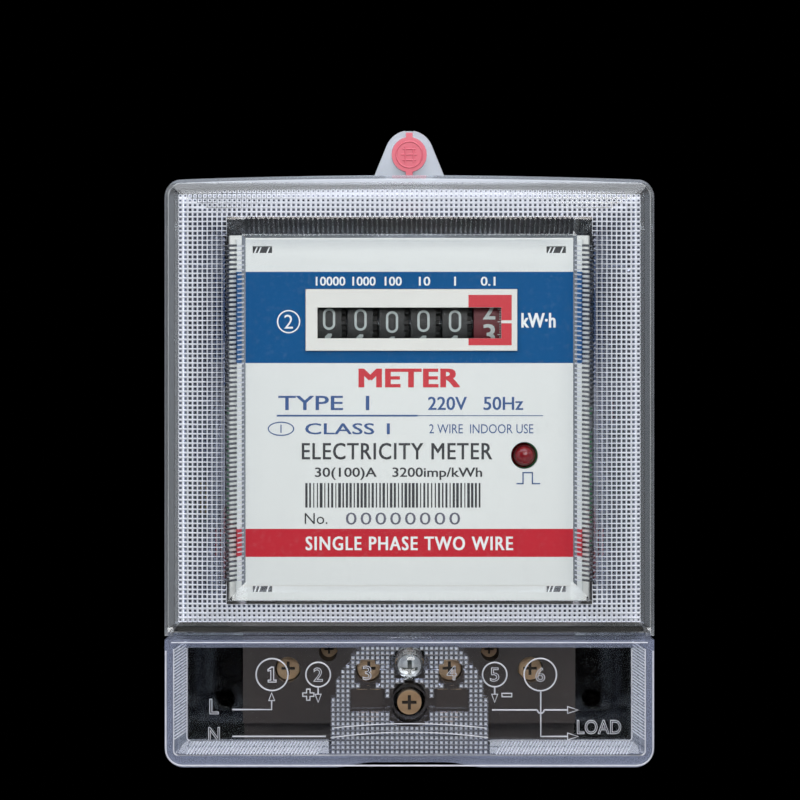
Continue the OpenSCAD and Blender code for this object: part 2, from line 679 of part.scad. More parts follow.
// Plate that carries the dial and the register
module dial_carrier() color([0.93, 0.93, 0.92]) from_hook() difference() {
  union() {
    block([-carrier_w / 2, carrier_back, carrier_low], [carrier_w / 2, plate_back, carrier_top]);
    both() for (z = post_z)
      front(carrier_back - carrier_boss, carrier_back) disc(carrier_post[0], z, carrier_post_r);
  }
  both() for (z = post_z) {
    front(carrier_back - carrier_boss - 1, plate_back)
      disc(carrier_post[0], z, carrier_screw[0] + screw_free);
    front(carrier_seat, plate_back + 1) disc(carrier_post[0], z, carrier_screw[1] + 0.2);
  }
  front(carrier_back - 1, plate_back + 1) {
    translate([-dial_w / 2 - 0.6, drum_z - 6.3]) square([drive_x + drive_t + 1 + dial_w / 2, 12.6]);
    disc(led_x, led_z, led_flange_r + 0.3);
  }
}
module carrier_screws() color("silver") from_hook() for (s = [-1, 1], z = post_z)
  screw(s * carrier_post[0], z, carrier_seat, 26, carrier_screw);

module nameplate() color([0.9, 0.9, 0.88]) from_hook() front(plate_back, plate_front) difference() {
  translate([-plate_w / 2, plate_z - plate_h / 2]) square([plate_w, plate_h]);
  translate([bezel_side - bezel_w / 2 - 0.1, drum_z + bezel_rise - bezel_h / 2 - 0.1])
    square([bezel_w + 0.2, bezel_h + 0.2]);
  disc(led_x, led_z, led_r + 0.7);
  both() for (s = [-1, 1])
    translate([plate_w / 2 - 8.5, plate_z + s * (plate_h / 2 - 2.4) - 0.8]) square([4.6, 1.6]);
}
module register_bezel() color([0.95, 0.95, 0.94]) from_hook() difference() {
  translate([bezel_side, 0, bezel_rise]) block([-bezel_w / 2, plate_back, drum_z - bezel_h / 2],
    [bezel_w / 2, plate_front + 0.6, drum_z + bezel_h / 2]);
  block([-dial_w / 2, plate_back - 1, drum_z - dial_h / 2],
    [dial_w / 2, plate_front + 1, drum_z + dial_h / 2]);
}

// Frame of the register: two cheeks and a web behind the drums
module register_frame() color([0.88, 0.88, 0.87]) from_hook() difference() {
  union() {
    for (x = [cheek_left, cheek_right]) across(x, x + cheek_t) difference() {
      translate([-carrier_back, drum_z - 14]) square([carrier_back - cheek_back, 24]);
      if (x == cheek_right) translate(motor_axis) circle(rotor_shaft_r + 0.4);
    }
    block([cheek_left, cheek_back, drum_z - 14], [cheek_right + cheek_t, cheek_back + 1.3, drum_z + 10]);
  }
  across(cheek_left - 1, cheek_right + cheek_t + 1) {
    translate(drum_axis) circle(shaft_r + 0.02);
    translate(pinion_axis) circle(pin_r + 0.02);
  }
  across(cheek_right - 1, cheek_right + cheek_t + 1) translate(idler_axis) circle(pin_r + 0.02);
}
module drum_shaft() color("silver") from_hook()
  across(cheek_left - 0.5, cheek_right + cheek_t) translate(drum_axis) circle(shaft_r);
module pinion_shaft() color("silver") from_hook()
  across(cheek_left - 0.5, cheek_right + cheek_t) translate(pinion_axis) circle(pin_r);
module idler_stub() color("silver") from_hook()
  across(drive_x + 0.4, cheek_right + cheek_t) translate(idler_axis) circle(pin_r);

// A number drum: a cup with a hub and a toothed wheel on its right face
module drum(x, w) {
  difference() {
    across(x - w / 2, x + w / 2) translate(drum_axis) circle(drum_r);
    across(x - w / 2 - 1, x + w / 2 - 1.2) translate(drum_axis) difference() {
      circle(drum_r - 1.3);
      circle(shaft_r + 1.4);
    }
    across(x - w, x + w) translate(drum_axis) circle(shaft_r + run);
  }
}
module carry_drum(n) color([0.12, 0.12, 0.13]) from_hook() {
  drum(drum_x[n], drum_w);
  across(drum_x[n] + drum_w / 2, drum_x[n] + drum_w / 2 + gear_t) translate(drum_axis) difference() {
    rotate(pinion_dir) polygon(gear_outline(carry_module, carry_teeth, 0.4, 0.9, 0.2));
    circle(shaft_r + run);
  }
}
module drum_tenths() color([0.55, 0.1, 0.12]) from_hook() {
  drum(tenths_x, tenths_w);
  across(drive_x, drive_x + drive_t) translate(drum_axis) difference() {
    rotate(idler_dir) polygon(gear_outline(drive_module, drive_teeth, 0.25, 0.5, 0.12));
    circle(shaft_r + run);
  }
}
module carry_pinion(n) color([0.9, 0.9, 0.86]) from_hook()
  across(drum_x[n] + drum_w / 2 + 0.3, drum_x[n] + drum_w / 2 + drum_gap - 0.3)
    translate(pinion_axis) difference() {
      rotate(pinion_dir + 180 + 180 / pinion_teeth)
        polygon(gear_outline(carry_module, pinion_teeth, 0.55, 0.7, 0.2));
      circle(pin_r + run);
    }
module idler_gear() color([0.9, 0.9, 0.86]) from_hook() difference() {
  union() {
    across(drive_x + 0.4, wheel_x) translate(idler_axis)
      rotate(idler_dir + 180 + 180 / idler_teeth)
        polygon(gear_outline(drive_module, idler_teeth, 0.28, 0.4, 0.12));
    across(wheel_x, wheel_x + 1) translate(idler_axis)
      rotate(motor_dir) polygon(gear_outline(motor_module, wheel_teeth, 0.22, 0.4, 0.08));
  }
  across(drive_x, wheel_x + 2) translate(idler_axis) circle(pin_r + run);
}
// Stepping motor: a can on the cheek, and a magnet rotor that carries the first pinion
module motor_case() color([0.7, 0.7, 0.72]) from_hook() difference() {
  across(cheek_right + cheek_t, cheek_right + cheek_t + motor_len) translate(motor_axis) circle(motor_r);
  across(cheek_right + cheek_t + 1, cheek_right + cheek_t + motor_len - 1)
    translate(motor_axis) circle(motor_r - 1);
  across(cheek_right, cheek_right + cheek_t + 2) translate(motor_axis) circle(rotor_shaft_r + run);
}
module motor_rotor() color([0.3, 0.3, 0.32]) from_hook() {
  across(wheel_x, cheek_right + cheek_t + motor_len - 1.3) translate(motor_axis) circle(rotor_shaft_r);
  across(cheek_right + cheek_t + 1.4, cheek_right + cheek_t + motor_len - 1.5)
    translate(motor_axis) circle(rotor_r);
  across(wheel_x - 0.1, wheel_x + 1.1) translate(motor_axis)
    rotate(motor_dir + 180 + 180 / motor_teeth)
      polygon(gear_outline(motor_module, motor_teeth, 0.22, 0.35, 0.08));
}

// An insulated wire with round bends through points given as [x, depth, z]
module wire(points, r) for (k = [0:len(points) - 2]) {
  a = [points[k][0], -points[k][1], points[k][2]];
  b = [points[k + 1][0], -points[k + 1][1], points[k + 1][2]];
  v = b - a;
  translate(a) rotate([0, acos(v[2] / norm(v)), atan2(v[1], v[0])]) cylinder(r = r, h = norm(v));
  if (k > 0) translate(a) sphere(r);
}
wire_size = 0.55;
module motor_leads() color([0.8, 0.15, 0.12]) from_hook() for (k = [3, 6]) {
  x = cheek_right + cheek_t + k;
  wire([[x, board_front, board_z + board_h - 3], [x, -motor_axis[0], board_z + board_h - 3],
    [x, -motor_axis[0], motor_axis[1] - motor_r]], wire_size);
}
module signal_leads() color([0.15, 0.15, 0.16]) from_hook() {
  shunt_mid = (terminal_x[0] + terminal_x[1]) / 2;
  for (x = pulse_x)
    wire([[x, wire_d, block_top + 2], [x, wire_d, tab_top + 1], [x, board_front + 3.5, tab_top + 1],
      [x, board_front + 3.5, board_z + 3], [x, board_front, board_z + 3]], wire_size);
  for (x = [shunt_mid - 5, shunt_mid + 5, (terminal_x[2] + terminal_x[3]) / 2 - 4])
    wire([[x, wire_d + 1.6 * strip_t, block_top + 2.6], [x, board_front + 3, block_top + 2.6],
      [x, board_front + 3, board_z + 3], [x, board_front, board_z + 3]], wire_size);
}

base();
gasket();
main_cover();
terminal_cover();
seal_plug();
lug_screw();
cover_screw();
seal_screw();
terminal_block();
block_screws();
terminal(0);  // terminal_1
terminal(1);  // terminal_3
terminal(2);  // terminal_4
terminal(3);  // terminal_6
pulse_terminal(0);  // pulse_terminal_2
pulse_terminal(1);  // pulse_terminal_5
clamp_screw(0);  // clamp_screw_1
clamp_screw(1);  // clamp_screw_3
clamp_screw(2);  // clamp_screw_4
clamp_screw(3);  // clamp_screw_6
pulse_screw(0);  // pulse_screw_2
pulse_screw(1);  // pulse_screw_5
current_shunt();
neutral_link();
circuit_board();
board_screws();
metering_chip();
supply_capacitor();
smoothing_capacitor();
varistor();
optocoupler();
resistors();
crystal();
pulse_led();
led_holder();
led_leads();
dial_carrier();
carrier_screws();
nameplate();
register_bezel();
register_frame();
drum_shaft();
pinion_shaft();
carry_drum(0);  // drum_ten_thousands
carry_drum(1);  // drum_thousands
carry_drum(2);  // drum_hundreds
carry_drum(3);  // drum_tens
carry_drum(4);  // drum_units
drum_tenths();
carry_pinion(0);  // carry_pinion_1
carry_pinion(1);  // carry_pinion_2
carry_pinion(2);  // carry_pinion_3
carry_pinion(3);  // carry_pinion_4
carry_pinion(4);  // carry_pinion_5
idler_gear();
idler_stub();
motor_case();
motor_rotor();
motor_leads();
signal_leads();
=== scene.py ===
# %% [markdown]
# # An electricity meter in a clear case
# The real meter is a clear polycarbonate box screwed to a wall. Behind its window
# are a printed nameplate and a row of number drums, and under it a second clear
# cover closes off a brown terminal block. The solid pieces come ready made, in
# metres, as a fixed frame. This script gives each its finish, and adds what makes
# a moulded case look moulded: the prism texture, the ribs and the raised marks.

import bmesh
import bpy
import json
import math
import numpy as np
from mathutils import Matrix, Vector


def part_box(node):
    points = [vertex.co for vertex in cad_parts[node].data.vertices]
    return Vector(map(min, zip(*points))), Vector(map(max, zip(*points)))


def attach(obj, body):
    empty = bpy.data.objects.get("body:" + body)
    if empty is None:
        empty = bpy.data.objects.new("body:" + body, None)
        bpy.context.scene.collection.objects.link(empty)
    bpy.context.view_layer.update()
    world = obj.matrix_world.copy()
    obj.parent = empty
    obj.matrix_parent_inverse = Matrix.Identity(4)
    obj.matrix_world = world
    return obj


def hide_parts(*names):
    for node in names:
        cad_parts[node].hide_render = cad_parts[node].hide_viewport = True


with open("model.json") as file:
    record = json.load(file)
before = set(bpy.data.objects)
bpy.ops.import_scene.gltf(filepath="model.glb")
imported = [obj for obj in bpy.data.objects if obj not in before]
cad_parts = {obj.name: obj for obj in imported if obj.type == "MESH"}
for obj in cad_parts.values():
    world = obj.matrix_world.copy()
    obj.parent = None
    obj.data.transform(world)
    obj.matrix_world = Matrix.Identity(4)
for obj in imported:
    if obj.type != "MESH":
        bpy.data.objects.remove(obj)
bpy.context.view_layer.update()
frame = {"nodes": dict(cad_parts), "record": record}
nodes = frame["nodes"]
print(len(nodes), "pieces in the frame")

# %% [markdown]
# All sizes below are in millimetres: x runs across the meter, z is counted up
# from the foot of the case and depth is counted forwards from the wall. One small
# function turns them into a place in the frame, and the places themselves start
# from the boxes of the pieces that are already there.

# %% Places
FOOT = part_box("terminal_cover")[0].z * 1000


def place(x, z, depth=0.0):
    return Vector((x, -depth, z + FOOT)) / 1000


def extent(node):
    """Left, right, low, high, back and front of a node, in millimetres."""
    low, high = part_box(node)
    return (low.x * 1000, high.x * 1000, low.z * 1000 - FOOT, high.z * 1000 - FOOT,
            -high.y * 1000, -low.y * 1000)


CASE_R, CREST = extent("main_cover")[1], extent("main_cover")[5]
PLATE_R, PLATE_LOW, PLATE_TOP, _, PLATE_FRONT = extent("nameplate")[1:]
BEZEL_FRONT = extent("register_bezel")[5]
DRUM_LOW, DRUM_TOP, DRUM_BACK, DRUM_FRONT = extent("drum_units")[2:]
DIAL_Z = (DRUM_LOW + DRUM_TOP) / 2
print("case", round(2 * CASE_R, 1), "wide, crest", round(CREST, 1), "mm off the wall")

# %% [markdown]
# The camera looks straight at the meter from 0.65 m, a little left of its middle
# and a little over it, so the case shows hardly any of its sides.

# %% Camera
VIEW_DISTANCE = 650


def link(name, data):
    """Puts an object that holds data into the scene."""
    made = bpy.data.objects.new(name, data)
    bpy.context.scene.collection.objects.link(made)
    return made


camera = link("camera", bpy.data.cameras.new("camera"))
camera.location = place(-2.2, 85.9, CREST + VIEW_DISTANCE)
camera.rotation_euler = (math.radians(90), 0, 0)
camera.data.lens, camera.data.sensor_width = 125.65, 36
camera.data.clip_start = 0.01
bpy.context.scene.camera = camera

# %% [markdown]
# Clear plastic has no look of its own: it shows what is around it. In a dark room
# the case reads as a dark body drawn by its bright edges, so the room is black and
# the light comes from large soft panels. One is over the meter, the strongest is
# high in front for the print, and weaker ones stand at the sides, under it and
# behind it. The pale floor lies well under the meter.

# %% Room and lights
room = bpy.data.worlds.new("dark room")
bpy.context.scene.world = room
room.use_nodes = True
room.node_tree.nodes["Background"].inputs["Color"].default_value = (0, 0, 0, 1)
room.node_tree.nodes["Background"].inputs["Strength"].default_value = 0
bpy.context.scene.view_settings.view_transform = "Standard"


def soft_panel(name, x, z, depth, width, height, watts, colour=(1, 1, 1)):
    light = bpy.data.lights.new(name, "AREA")
    light.shape, light.size, light.size_y = "RECTANGLE", width, height
    light.energy, light.color = watts, colour
    panel = link(name, light)
    panel.location = place(x, z, depth)
    aim = place(0, 75, 30) - panel.location
    panel.rotation_euler = aim.to_track_quat("-Z", "Y").to_euler()
    panel.visible_camera = False
    return panel


soft_panel("panel over", 0, 620, 260, 0.9, 0.45, 4.4, (0.97, 0.98, 1.0))
soft_panel("panel front", 120, 420, 900, 0.8, 0.35, 6.1, (1.0, 0.965, 0.93))
soft_panel("panel left", -560, 60, 260, 0.3, 1.2, 2.0, (0.9, 0.94, 1.0))
soft_panel("panel right", 560, 60, 260, 0.3, 1.2, 1.1, (0.9, 0.94, 1.0))
soft_panel("panel under", 0, -330, 420, 0.5, 0.25, 0.8, (0.97, 0.97, 1.0))
soft_panel("panel rear left", -420, 75, -420, 0.4, 1.3, 0.5, (0.9, 0.94, 1.0))
soft_panel("panel rear right", 420, 75, -420, 0.4, 1.3, 0.4, (0.9, 0.94, 1.0))
FLOOR_Z, FLOOR_CORNERS = -184, ((-800, -900), (-800, 1000), (800, 1000), (800, -900))
floor_data = bpy.data.meshes.new("floor")
floor_data.from_pydata([place(x, FLOOR_Z, d) for x, d in FLOOR_CORNERS], [], [(0, 1, 2, 3)])
floor = link("floor", floor_data)

# %% [markdown]
# One function adds a node with its settings, values and links. Another turns the
# hex value of a paint chart into the linear colour that the shader wants.

# %% Colours and nodes


def linear(code):
    parts = [int(code[i:i + 2], 16) / 255 for i in (1, 3, 5)]
    return tuple(c / 12.92 if c <= 0.04045 else ((c + 0.055) / 1.055) ** 2.4 for c in parts) + (1.0,)


def add(tree, kind, values=None, links=None, **settings):
    node = tree.nodes.new(kind)
    for key, value in settings.items():
        setattr(node, key, value)
    for key, value in (values or {}).items():
        node.inputs[key].default_value = value
    for key, source in (links or {}).items():
        tree.links.new(source, node.inputs[key])
    return node


def empty_material(name):
    """A material with no nodes but the place on the piece, which its patterns start from."""
    made = bpy.data.materials.new(name)
    made.use_nodes = True
    made.node_tree.nodes.clear()
    return made, made.node_tree, add(made.node_tree, "ShaderNodeTexCoord").outputs["Object"]


def largest(tree, values):
    best = values[0]
    for value in values[1:]:
        best = add(tree, "ShaderNodeMath", None, {0: best, 1: value}, operation="MAXIMUM").outputs[0]
    return best


# %% [markdown]
# Most pieces are opaque. Their finish has a body colour that drifts a little to a
# second one, a grain of a real size in millimetres that lifts the surface, and a
# roughness that follows the same grain. The values of each come from what it is
# made of, so the same function serves a moulded plastic, a turned brass and a
# lacquered part without making them look alike.

# %% Opaque finishes


def finish(name, colour, second, grain, rough, lift, metal=0.0, coat=0.0, drift=9.0, stretch=(1, 1, 1)):
    made, tree, where = empty_material(name)
    along = add(tree, "ShaderNodeMapping", {"Scale": stretch}, {"Vector": where}).outputs[0]
    patches = add(tree, "ShaderNodeTexNoise", {"Scale": 1000 / drift, "Detail": 3.0}, {"Vector": where})
    fine = add(tree, "ShaderNodeTexNoise", {"Scale": 1000 / grain, "Detail": 4.0, "Roughness": 0.6},
               {"Vector": along})
    tint = add(tree, "ShaderNodeMix", {6: linear(colour), 7: linear(second)},
               {0: patches.outputs["Fac"]}, data_type="RGBA")
    gloss = add(tree, "ShaderNodeMapRange", {3: rough[0], 4: rough[1]}, {0: fine.outputs["Fac"]})
    bump = add(tree, "ShaderNodeBump", {"Strength": 0.6, "Distance": lift / 1000},
               {"Height": fine.outputs["Fac"]})
    surface = add(tree, "ShaderNodeBsdfPrincipled", {"Metallic": metal, "Coat Weight": coat},
                  {"Base Color": tint.outputs[2], "Roughness": gloss.outputs[0],
                   "Normal": bump.outputs[0]})
    add(tree, "ShaderNodeOutputMaterial", None, {"Surface": surface.outputs[0]})
    return made


FINISHES = {
    # silicone: matt, with the faint drag marks of a cut strip
    "seal_rubber": finish("silicone rubber, extruded", "#8e9092", "#9a9c9d", 0.6, (0.6, 0.75), 0.02),
    # zinc plate: bright but cloudy, because the plating etches
    "zinc_screw": finish("zinc plated steel, cold headed", "#b9bcc0", "#9fa4a6", 0.5, (0.22, 0.42), 0.01, 1.0,
                         drift=1.5),
    # turned brass keeps fine rings from the tool and goes browner where it is touched
    "brass_screw": finish("brass, turned", "#d9bfa0", "#9f7c5c", 0.35, (0.25, 0.4), 0.006, 0.95, drift=3.0),
    "brass": finish("brass, extruded and cut", "#c9a35a", "#9a763a", 0.5, (0.25, 0.45), 0.01, 1.0,
                    stretch=(1, 1, 0.1)),
    # phenolic powder moulded hot: nearly black brown, flecked, with a skin of resin
    "bakelite": finish("phenolic, compression moulded", "#231614", "#130c0b", 0.8, (0.4, 0.6), 0.03, drift=5.0),
    "copper": finish("copper strip, rolled", "#c07a52", "#8d5236", 0.4, (0.25, 0.45), 0.01, 1.0,
                     stretch=(0.1, 1, 1)),
    "chip_black": finish("epoxy, transfer moulded", "#1c1c1f", "#26262a", 0.15, (0.5, 0.65), 0.01),
    "capacitor_box": finish("polyester box, potted", "#c9a324", "#b8921c", 0.5, (0.35, 0.5), 0.01),
    "varistor_blue": finish("epoxy, dipped", "#1f4d94", "#173c78", 1.2, (0.3, 0.5), 0.05, coat=0.2),
    "coupler_white": finish("white epoxy, transfer moulded", "#dcdcd6", "#cfcfc8", 0.2, (0.45, 0.6), 0.01),
    "resistor_body": finish("lacquered ceramic, dipped", "#b58f5c", "#9c7747", 0.4, (0.3, 0.45), 0.02),
    "crystal_can": finish("nickel plated can, drawn", "#c2c4c8", "#a9abb0", 0.3, (0.15, 0.3), 0.005, 1.0),
    "lead_wire": finish("tinned copper wire, drawn", "#c4c6c8", "#aeb0b2", 0.2, (0.25, 0.4), 0.005, 1.0),
    "dial_white": finish("white ABS, moulded", "#e6e6e2", "#dcdcd8", 0.5, (0.4, 0.55), 0.01),
    "shaft_steel": finish("silver steel, ground", "#b4b7ba", "#9fa2a5", 0.15, (0.15, 0.3), 0.004, 1.0,
                          stretch=(8, 1, 1)),
    "drum_black": finish("black acetal, moulded", "#040606", "#0a0e0d", 0.4, (0.55, 0.65), 0.01),
    "drum_red": finish("dark red acetal, moulded", "#5a0f1b", "#490a14", 0.4, (0.55, 0.65), 0.01),
    "gear_acetal": finish("natural acetal, moulded", "#dcd9cf", "#cfccc2", 0.5, (0.35, 0.5), 0.01),
    "motor_can": finish("zinc plated can, drawn", "#a4a7ac", "#8f9296", 0.4, (0.2, 0.38), 0.008, 1.0),
    "rotor_magnet": finish("bonded ferrite, sintered", "#2b2b2e", "#37373b", 0.3, (0.5, 0.7), 0.02),
    "wire_red": finish("red PVC, extruded", "#a81c1a", "#96201d", 0.8, (0.35, 0.5), 0.01),
    "wire_black": finish("black PVC, extruded", "#1b1b1d", "#252528", 0.8, (0.35, 0.5), 0.01),
    "frame_black": finish("black ABS, moulded", "#0c0d0e", "#141516", 0.5, (0.4, 0.55), 0.01),
}
floor.data.materials.append(finish("pale card, matt", "#cfcfcc", "#d6d6d3", 1.5, (0.7, 0.85), 0.02))


def darken_recess(made, layers, shade_colour):
    """Paints shade on the floor of a screw's cross, which lies between two depths in mm."""
    tree = made.node_tree
    surface = next(n for n in tree.nodes if n.type == "BSDF_PRINCIPLED")
    out = next(n for n in tree.nodes if n.type == "OUTPUT_MATERIAL")
    where = add(tree, "ShaderNodeTexCoord").outputs["Object"]
    depth = add(tree, "ShaderNodeSeparateXYZ", None, {0: where}).outputs[1]
    near = [add(tree, "ShaderNodeMath", {1: -(back + front) / 2000, 2: (front - back) / 2000}, {0: depth},
                operation="COMPARE").outputs[0] for back, front in layers]
    # the colour of the painted shade in the recess
    dark = add(tree, "ShaderNodeBsdfPrincipled", {"Base Color": linear(shade_colour), "Roughness": 0.6})
    mixed = add(tree, "ShaderNodeMixShader", None, {0: largest(tree, near), 1: surface.outputs[0],
                                                    2: dark.outputs[0]})
    tree.links.new(mixed.outputs[0], out.inputs["Surface"])


# painted shade at the bottom of each cross recess
darken_recess(FINISHES["brass_screw"], [(28.7, 29.6), (23.9, 24.8), (47.2, 48.1)], "#20150d")
darken_recess(FINISHES["zinc_screw"], [(40.5, 41.4)], "#3d4646")
print(len(FINISHES), "opaque finishes")

# %% [markdown]
# The small electrolytic capacitor wears a printed sleeve, and the circuit board
# is glass fibre under a green solder mask: copper tracks show through the mask as
# lighter green lines. Both patterns come from the place on the piece.

# %% Sleeve and circuit board
FINISHES["capacitor_can"], tree, where = empty_material("PVC sleeve, shrunk on")
stripes = add(tree, "ShaderNodeTexWave", {"Scale": 60.0}, {"Vector": where}, bands_direction="X")
step = add(tree, "ShaderNodeMath", {1: 0.93}, {0: stripes.outputs["Fac"]}, operation="GREATER_THAN")
tint = add(tree, "ShaderNodeMix", {6: linear("#12203f"), 7: linear("#aab4c4")}, {0: step.outputs[0]},
           data_type="RGBA")
surface = add(tree, "ShaderNodeBsdfPrincipled", {"Roughness": 0.3}, {"Base Color": tint.outputs[2]})
add(tree, "ShaderNodeOutputMaterial", None, {"Surface": surface.outputs[0]})

FINISHES["board_green"], tree, where = empty_material("solder mask on glass fibre, screen printed")
cells = add(tree, "ShaderNodeTexVoronoi", {"Scale": 260.0, "Randomness": 0.35}, {"Vector": where},
            feature="F1", distance="MANHATTAN")
track = add(tree, "ShaderNodeMath", {1: 0.16}, {0: cells.outputs["Distance"]}, operation="LESS_THAN")
weave = add(tree, "ShaderNodeTexWave", {"Scale": 500.0}, {"Vector": where}, bands_direction="DIAGONAL")
ground = add(tree, "ShaderNodeMix", {6: linear("#1c6b3c"), 7: linear("#23784a")}, {0: weave.outputs["Fac"]},
             data_type="RGBA")
tint = add(tree, "ShaderNodeMix", {7: linear("#58a878")}, {0: track.outputs[0], 6: ground.outputs[2]},
           data_type="RGBA")
surface = add(tree, "ShaderNodeBsdfPrincipled", {"Roughness": 0.35, "Coat Weight": 0.3},
              {"Base Color": tint.outputs[2]})
add(tree, "ShaderNodeOutputMaterial", None, {"Surface": surface.outputs[0]})

# %% [markdown]
# The nameplate is a thin white sheet, screen printed with a blue band behind the
# register and a red one near its foot. The bands are plain areas of ink, so they
# are a colour step over the height, and the ink is a touch glossier than the sheet.

# %% Nameplate
BLUE_BAND, RED_BAND = (94.6, 115.9), (48.7, 55.4)
FINISHES["nameplate_print"], tree, where = empty_material("white sheet, screen printed")
height = add(tree, "ShaderNodeSeparateXYZ", None, {0: where}).outputs[2]
low, high = place(0, PLATE_LOW).z, place(0, PLATE_TOP).z
share = add(tree, "ShaderNodeMapRange", {1: low, 2: high}, {0: height})
bands = add(tree, "ShaderNodeValToRGB", None, {0: share.outputs[0]})
ramp = bands.color_ramp
ramp.interpolation = "CONSTANT"
ramp.elements[0].color, ramp.elements[1].color = linear("#e4e7e6"), linear("#eceeed")
ramp.elements[1].position = 0.999
for z, code in ((RED_BAND[0], "#c32a38"), (RED_BAND[1], "#e6e9e8"), (BLUE_BAND[0], "#04528a"),
                (BLUE_BAND[1], "#e8ebea")):
    ramp.elements.new((z - PLATE_LOW) / (PLATE_TOP - PLATE_LOW)).color = linear(code)
grain = add(tree, "ShaderNodeTexNoise", {"Scale": 900.0, "Detail": 3.0}, {"Vector": where})
worn = add(tree, "ShaderNodeMix", {7: linear("#9aa0a6")}, {6: bands.outputs[0]}, data_type="RGBA")
faint = add(tree, "ShaderNodeMapRange", {1: 0.55, 2: 0.9, 3: 0.0, 4: 0.14}, {0: grain.outputs["Fac"]})
tree.links.new(faint.outputs[0], worn.inputs[0])
gloss = add(tree, "ShaderNodeMapRange", {3: 0.5, 4: 0.65}, {0: grain.outputs["Fac"]})
surface = add(tree, "ShaderNodeBsdfPrincipled", {"Specular IOR Level": 0.15},
              {"Base Color": worn.outputs[2], "Roughness": gloss.outputs[0]})
add(tree, "ShaderNodeOutputMaterial", None, {"Surface": surface.outputs[0]})

# %% [markdown]
# Polycarbonate has an index of 1.585. Light that only passes through on its way to
# the print inside isn't bent in a way anyone sees, so shadow and diffuse rays are
# let straight through, which also keeps the inside free of speckle. The moulding
# leaves a faint orange peel a few millimetres wide.

# %% Clear plastics


def clear_plastic(name, tint, rough, peel):
    made, tree, where = empty_material(name)
    swell = add(tree, "ShaderNodeTexNoise", {"Scale": 140.0, "Detail": 1.0}, {"Vector": where})
    bump = add(tree, "ShaderNodeBump", {"Strength": 0.3, "Distance": peel / 1000},
               {"Height": swell.outputs["Fac"]})
    glass = add(tree, "ShaderNodeBsdfPrincipled",
                {"Base Color": linear(tint), "Roughness": rough, "IOR": 1.585, "Transmission Weight": 1.0},
                {"Normal": bump.outputs[0]})
    return made, tree, where, glass


def pass_light(tree, surface, tint="#f9f9f8"):
    rays = add(tree, "ShaderNodeLightPath")
    passing = largest(tree, [rays.outputs["Is Shadow Ray"], rays.outputs["Is Diffuse Ray"]])
    straight = add(tree, "ShaderNodeBsdfTransparent", {"Color": linear(tint)})
    mixed = add(tree, "ShaderNodeMixShader", None, {0: passing, 1: surface,
                                                    2: straight.outputs[0]})
    add(tree, "ShaderNodeOutputMaterial", None, {"Surface": mixed.outputs[0]})


def lit_edges(tree, where, glass, milky_painted_light, bands):
    """Mixes a milky share into the glass past each edge; on the case's edges it is painted light: ("x" or "z",
    start, full, share), in mm.
    """
    place_of = add(tree, "ShaderNodeSeparateXYZ", None, {0: where})
    side = add(tree, "ShaderNodeMath", None, {0: place_of.outputs[0]}, operation="ABSOLUTE")
    shares = []
    for axis, start, full, amount in bands:
        source = side.outputs[0] if axis == "x" else place_of.outputs[2]
        ends = (start / 1000, full / 1000) if axis == "x" else (place(0, start).z, place(0, full).z)
        one = add(tree, "ShaderNodeMapRange", {1: ends[0], 2: ends[1], 3: 0.0, 4: amount}, {0: source})
        shares.append(one.outputs[0])
    white = add(tree, "ShaderNodeBsdfPrincipled",
                {"Base Color": linear(milky_painted_light), "Roughness": 0.22, "Transmission Weight": 0.3, "IOR": 1.585})
    mixed = add(tree, "ShaderNodeMixShader", None, {0: largest(tree, shares), 1: glass.outputs[0],
                                                    2: white.outputs[0]})
    pass_light(tree, mixed.outputs[0])


# painted light on the top and side edges of the case, and a milky share on the lug above its top
FINISHES["clear_case"], *parts = clear_plastic("polycarbonate, injection moulded", "#f4f8fc", 0.03, 0.02)
lit_edges(*parts, "#c6cedb", [("z", 136.3, 136.8, 0.55), ("z", 138.8, 139.2, 0.38), ("x", 56.9, 57.4, 0.22)])
# painted light along the sides, the foot and the top of the terminal cover
lower_clear, *parts = clear_plastic("polycarbonate, moulded terminal cover", "#f4f8fc", 0.03, 0.02)
lit_edges(*parts, "#8f98b4", [("x", 54.9, 55.3, 0.5), ("z", 3.1, 2.7, 0.5), ("z", 28.0, 28.5, 0.5)])
# a milky share on the lug and painted light along the sides of the tray
FINISHES["clear_base"], *parts = clear_plastic("polycarbonate, moulded tray", "#eef4f8", 0.06, 0.03)
lit_edges(*parts, "#aeb8c8", [("z", 138.8, 139.2, 0.6), ("x", 56.2, 56.9, 0.12)])

# %% [markdown]
# The prism texture is a field of small square pits. Its facets scatter light, so
# it reads as a bright net with a dark spot in each mesh, where the eye looks
# through the flat middle of a pit. Both are painted into the colour: a milky share
# is painted light, and tinted glass in each spot is painted shade. The spots grow
# towards the window, because the light comes in from the outer edge. PITCH is the
# real spacing of the pits.

# %% Prism textured plastic
PITCH = (1.15, 1.1)
CREST_X, CREST_LOW, CREST_TOP = 42.5, 39.1, 128.0


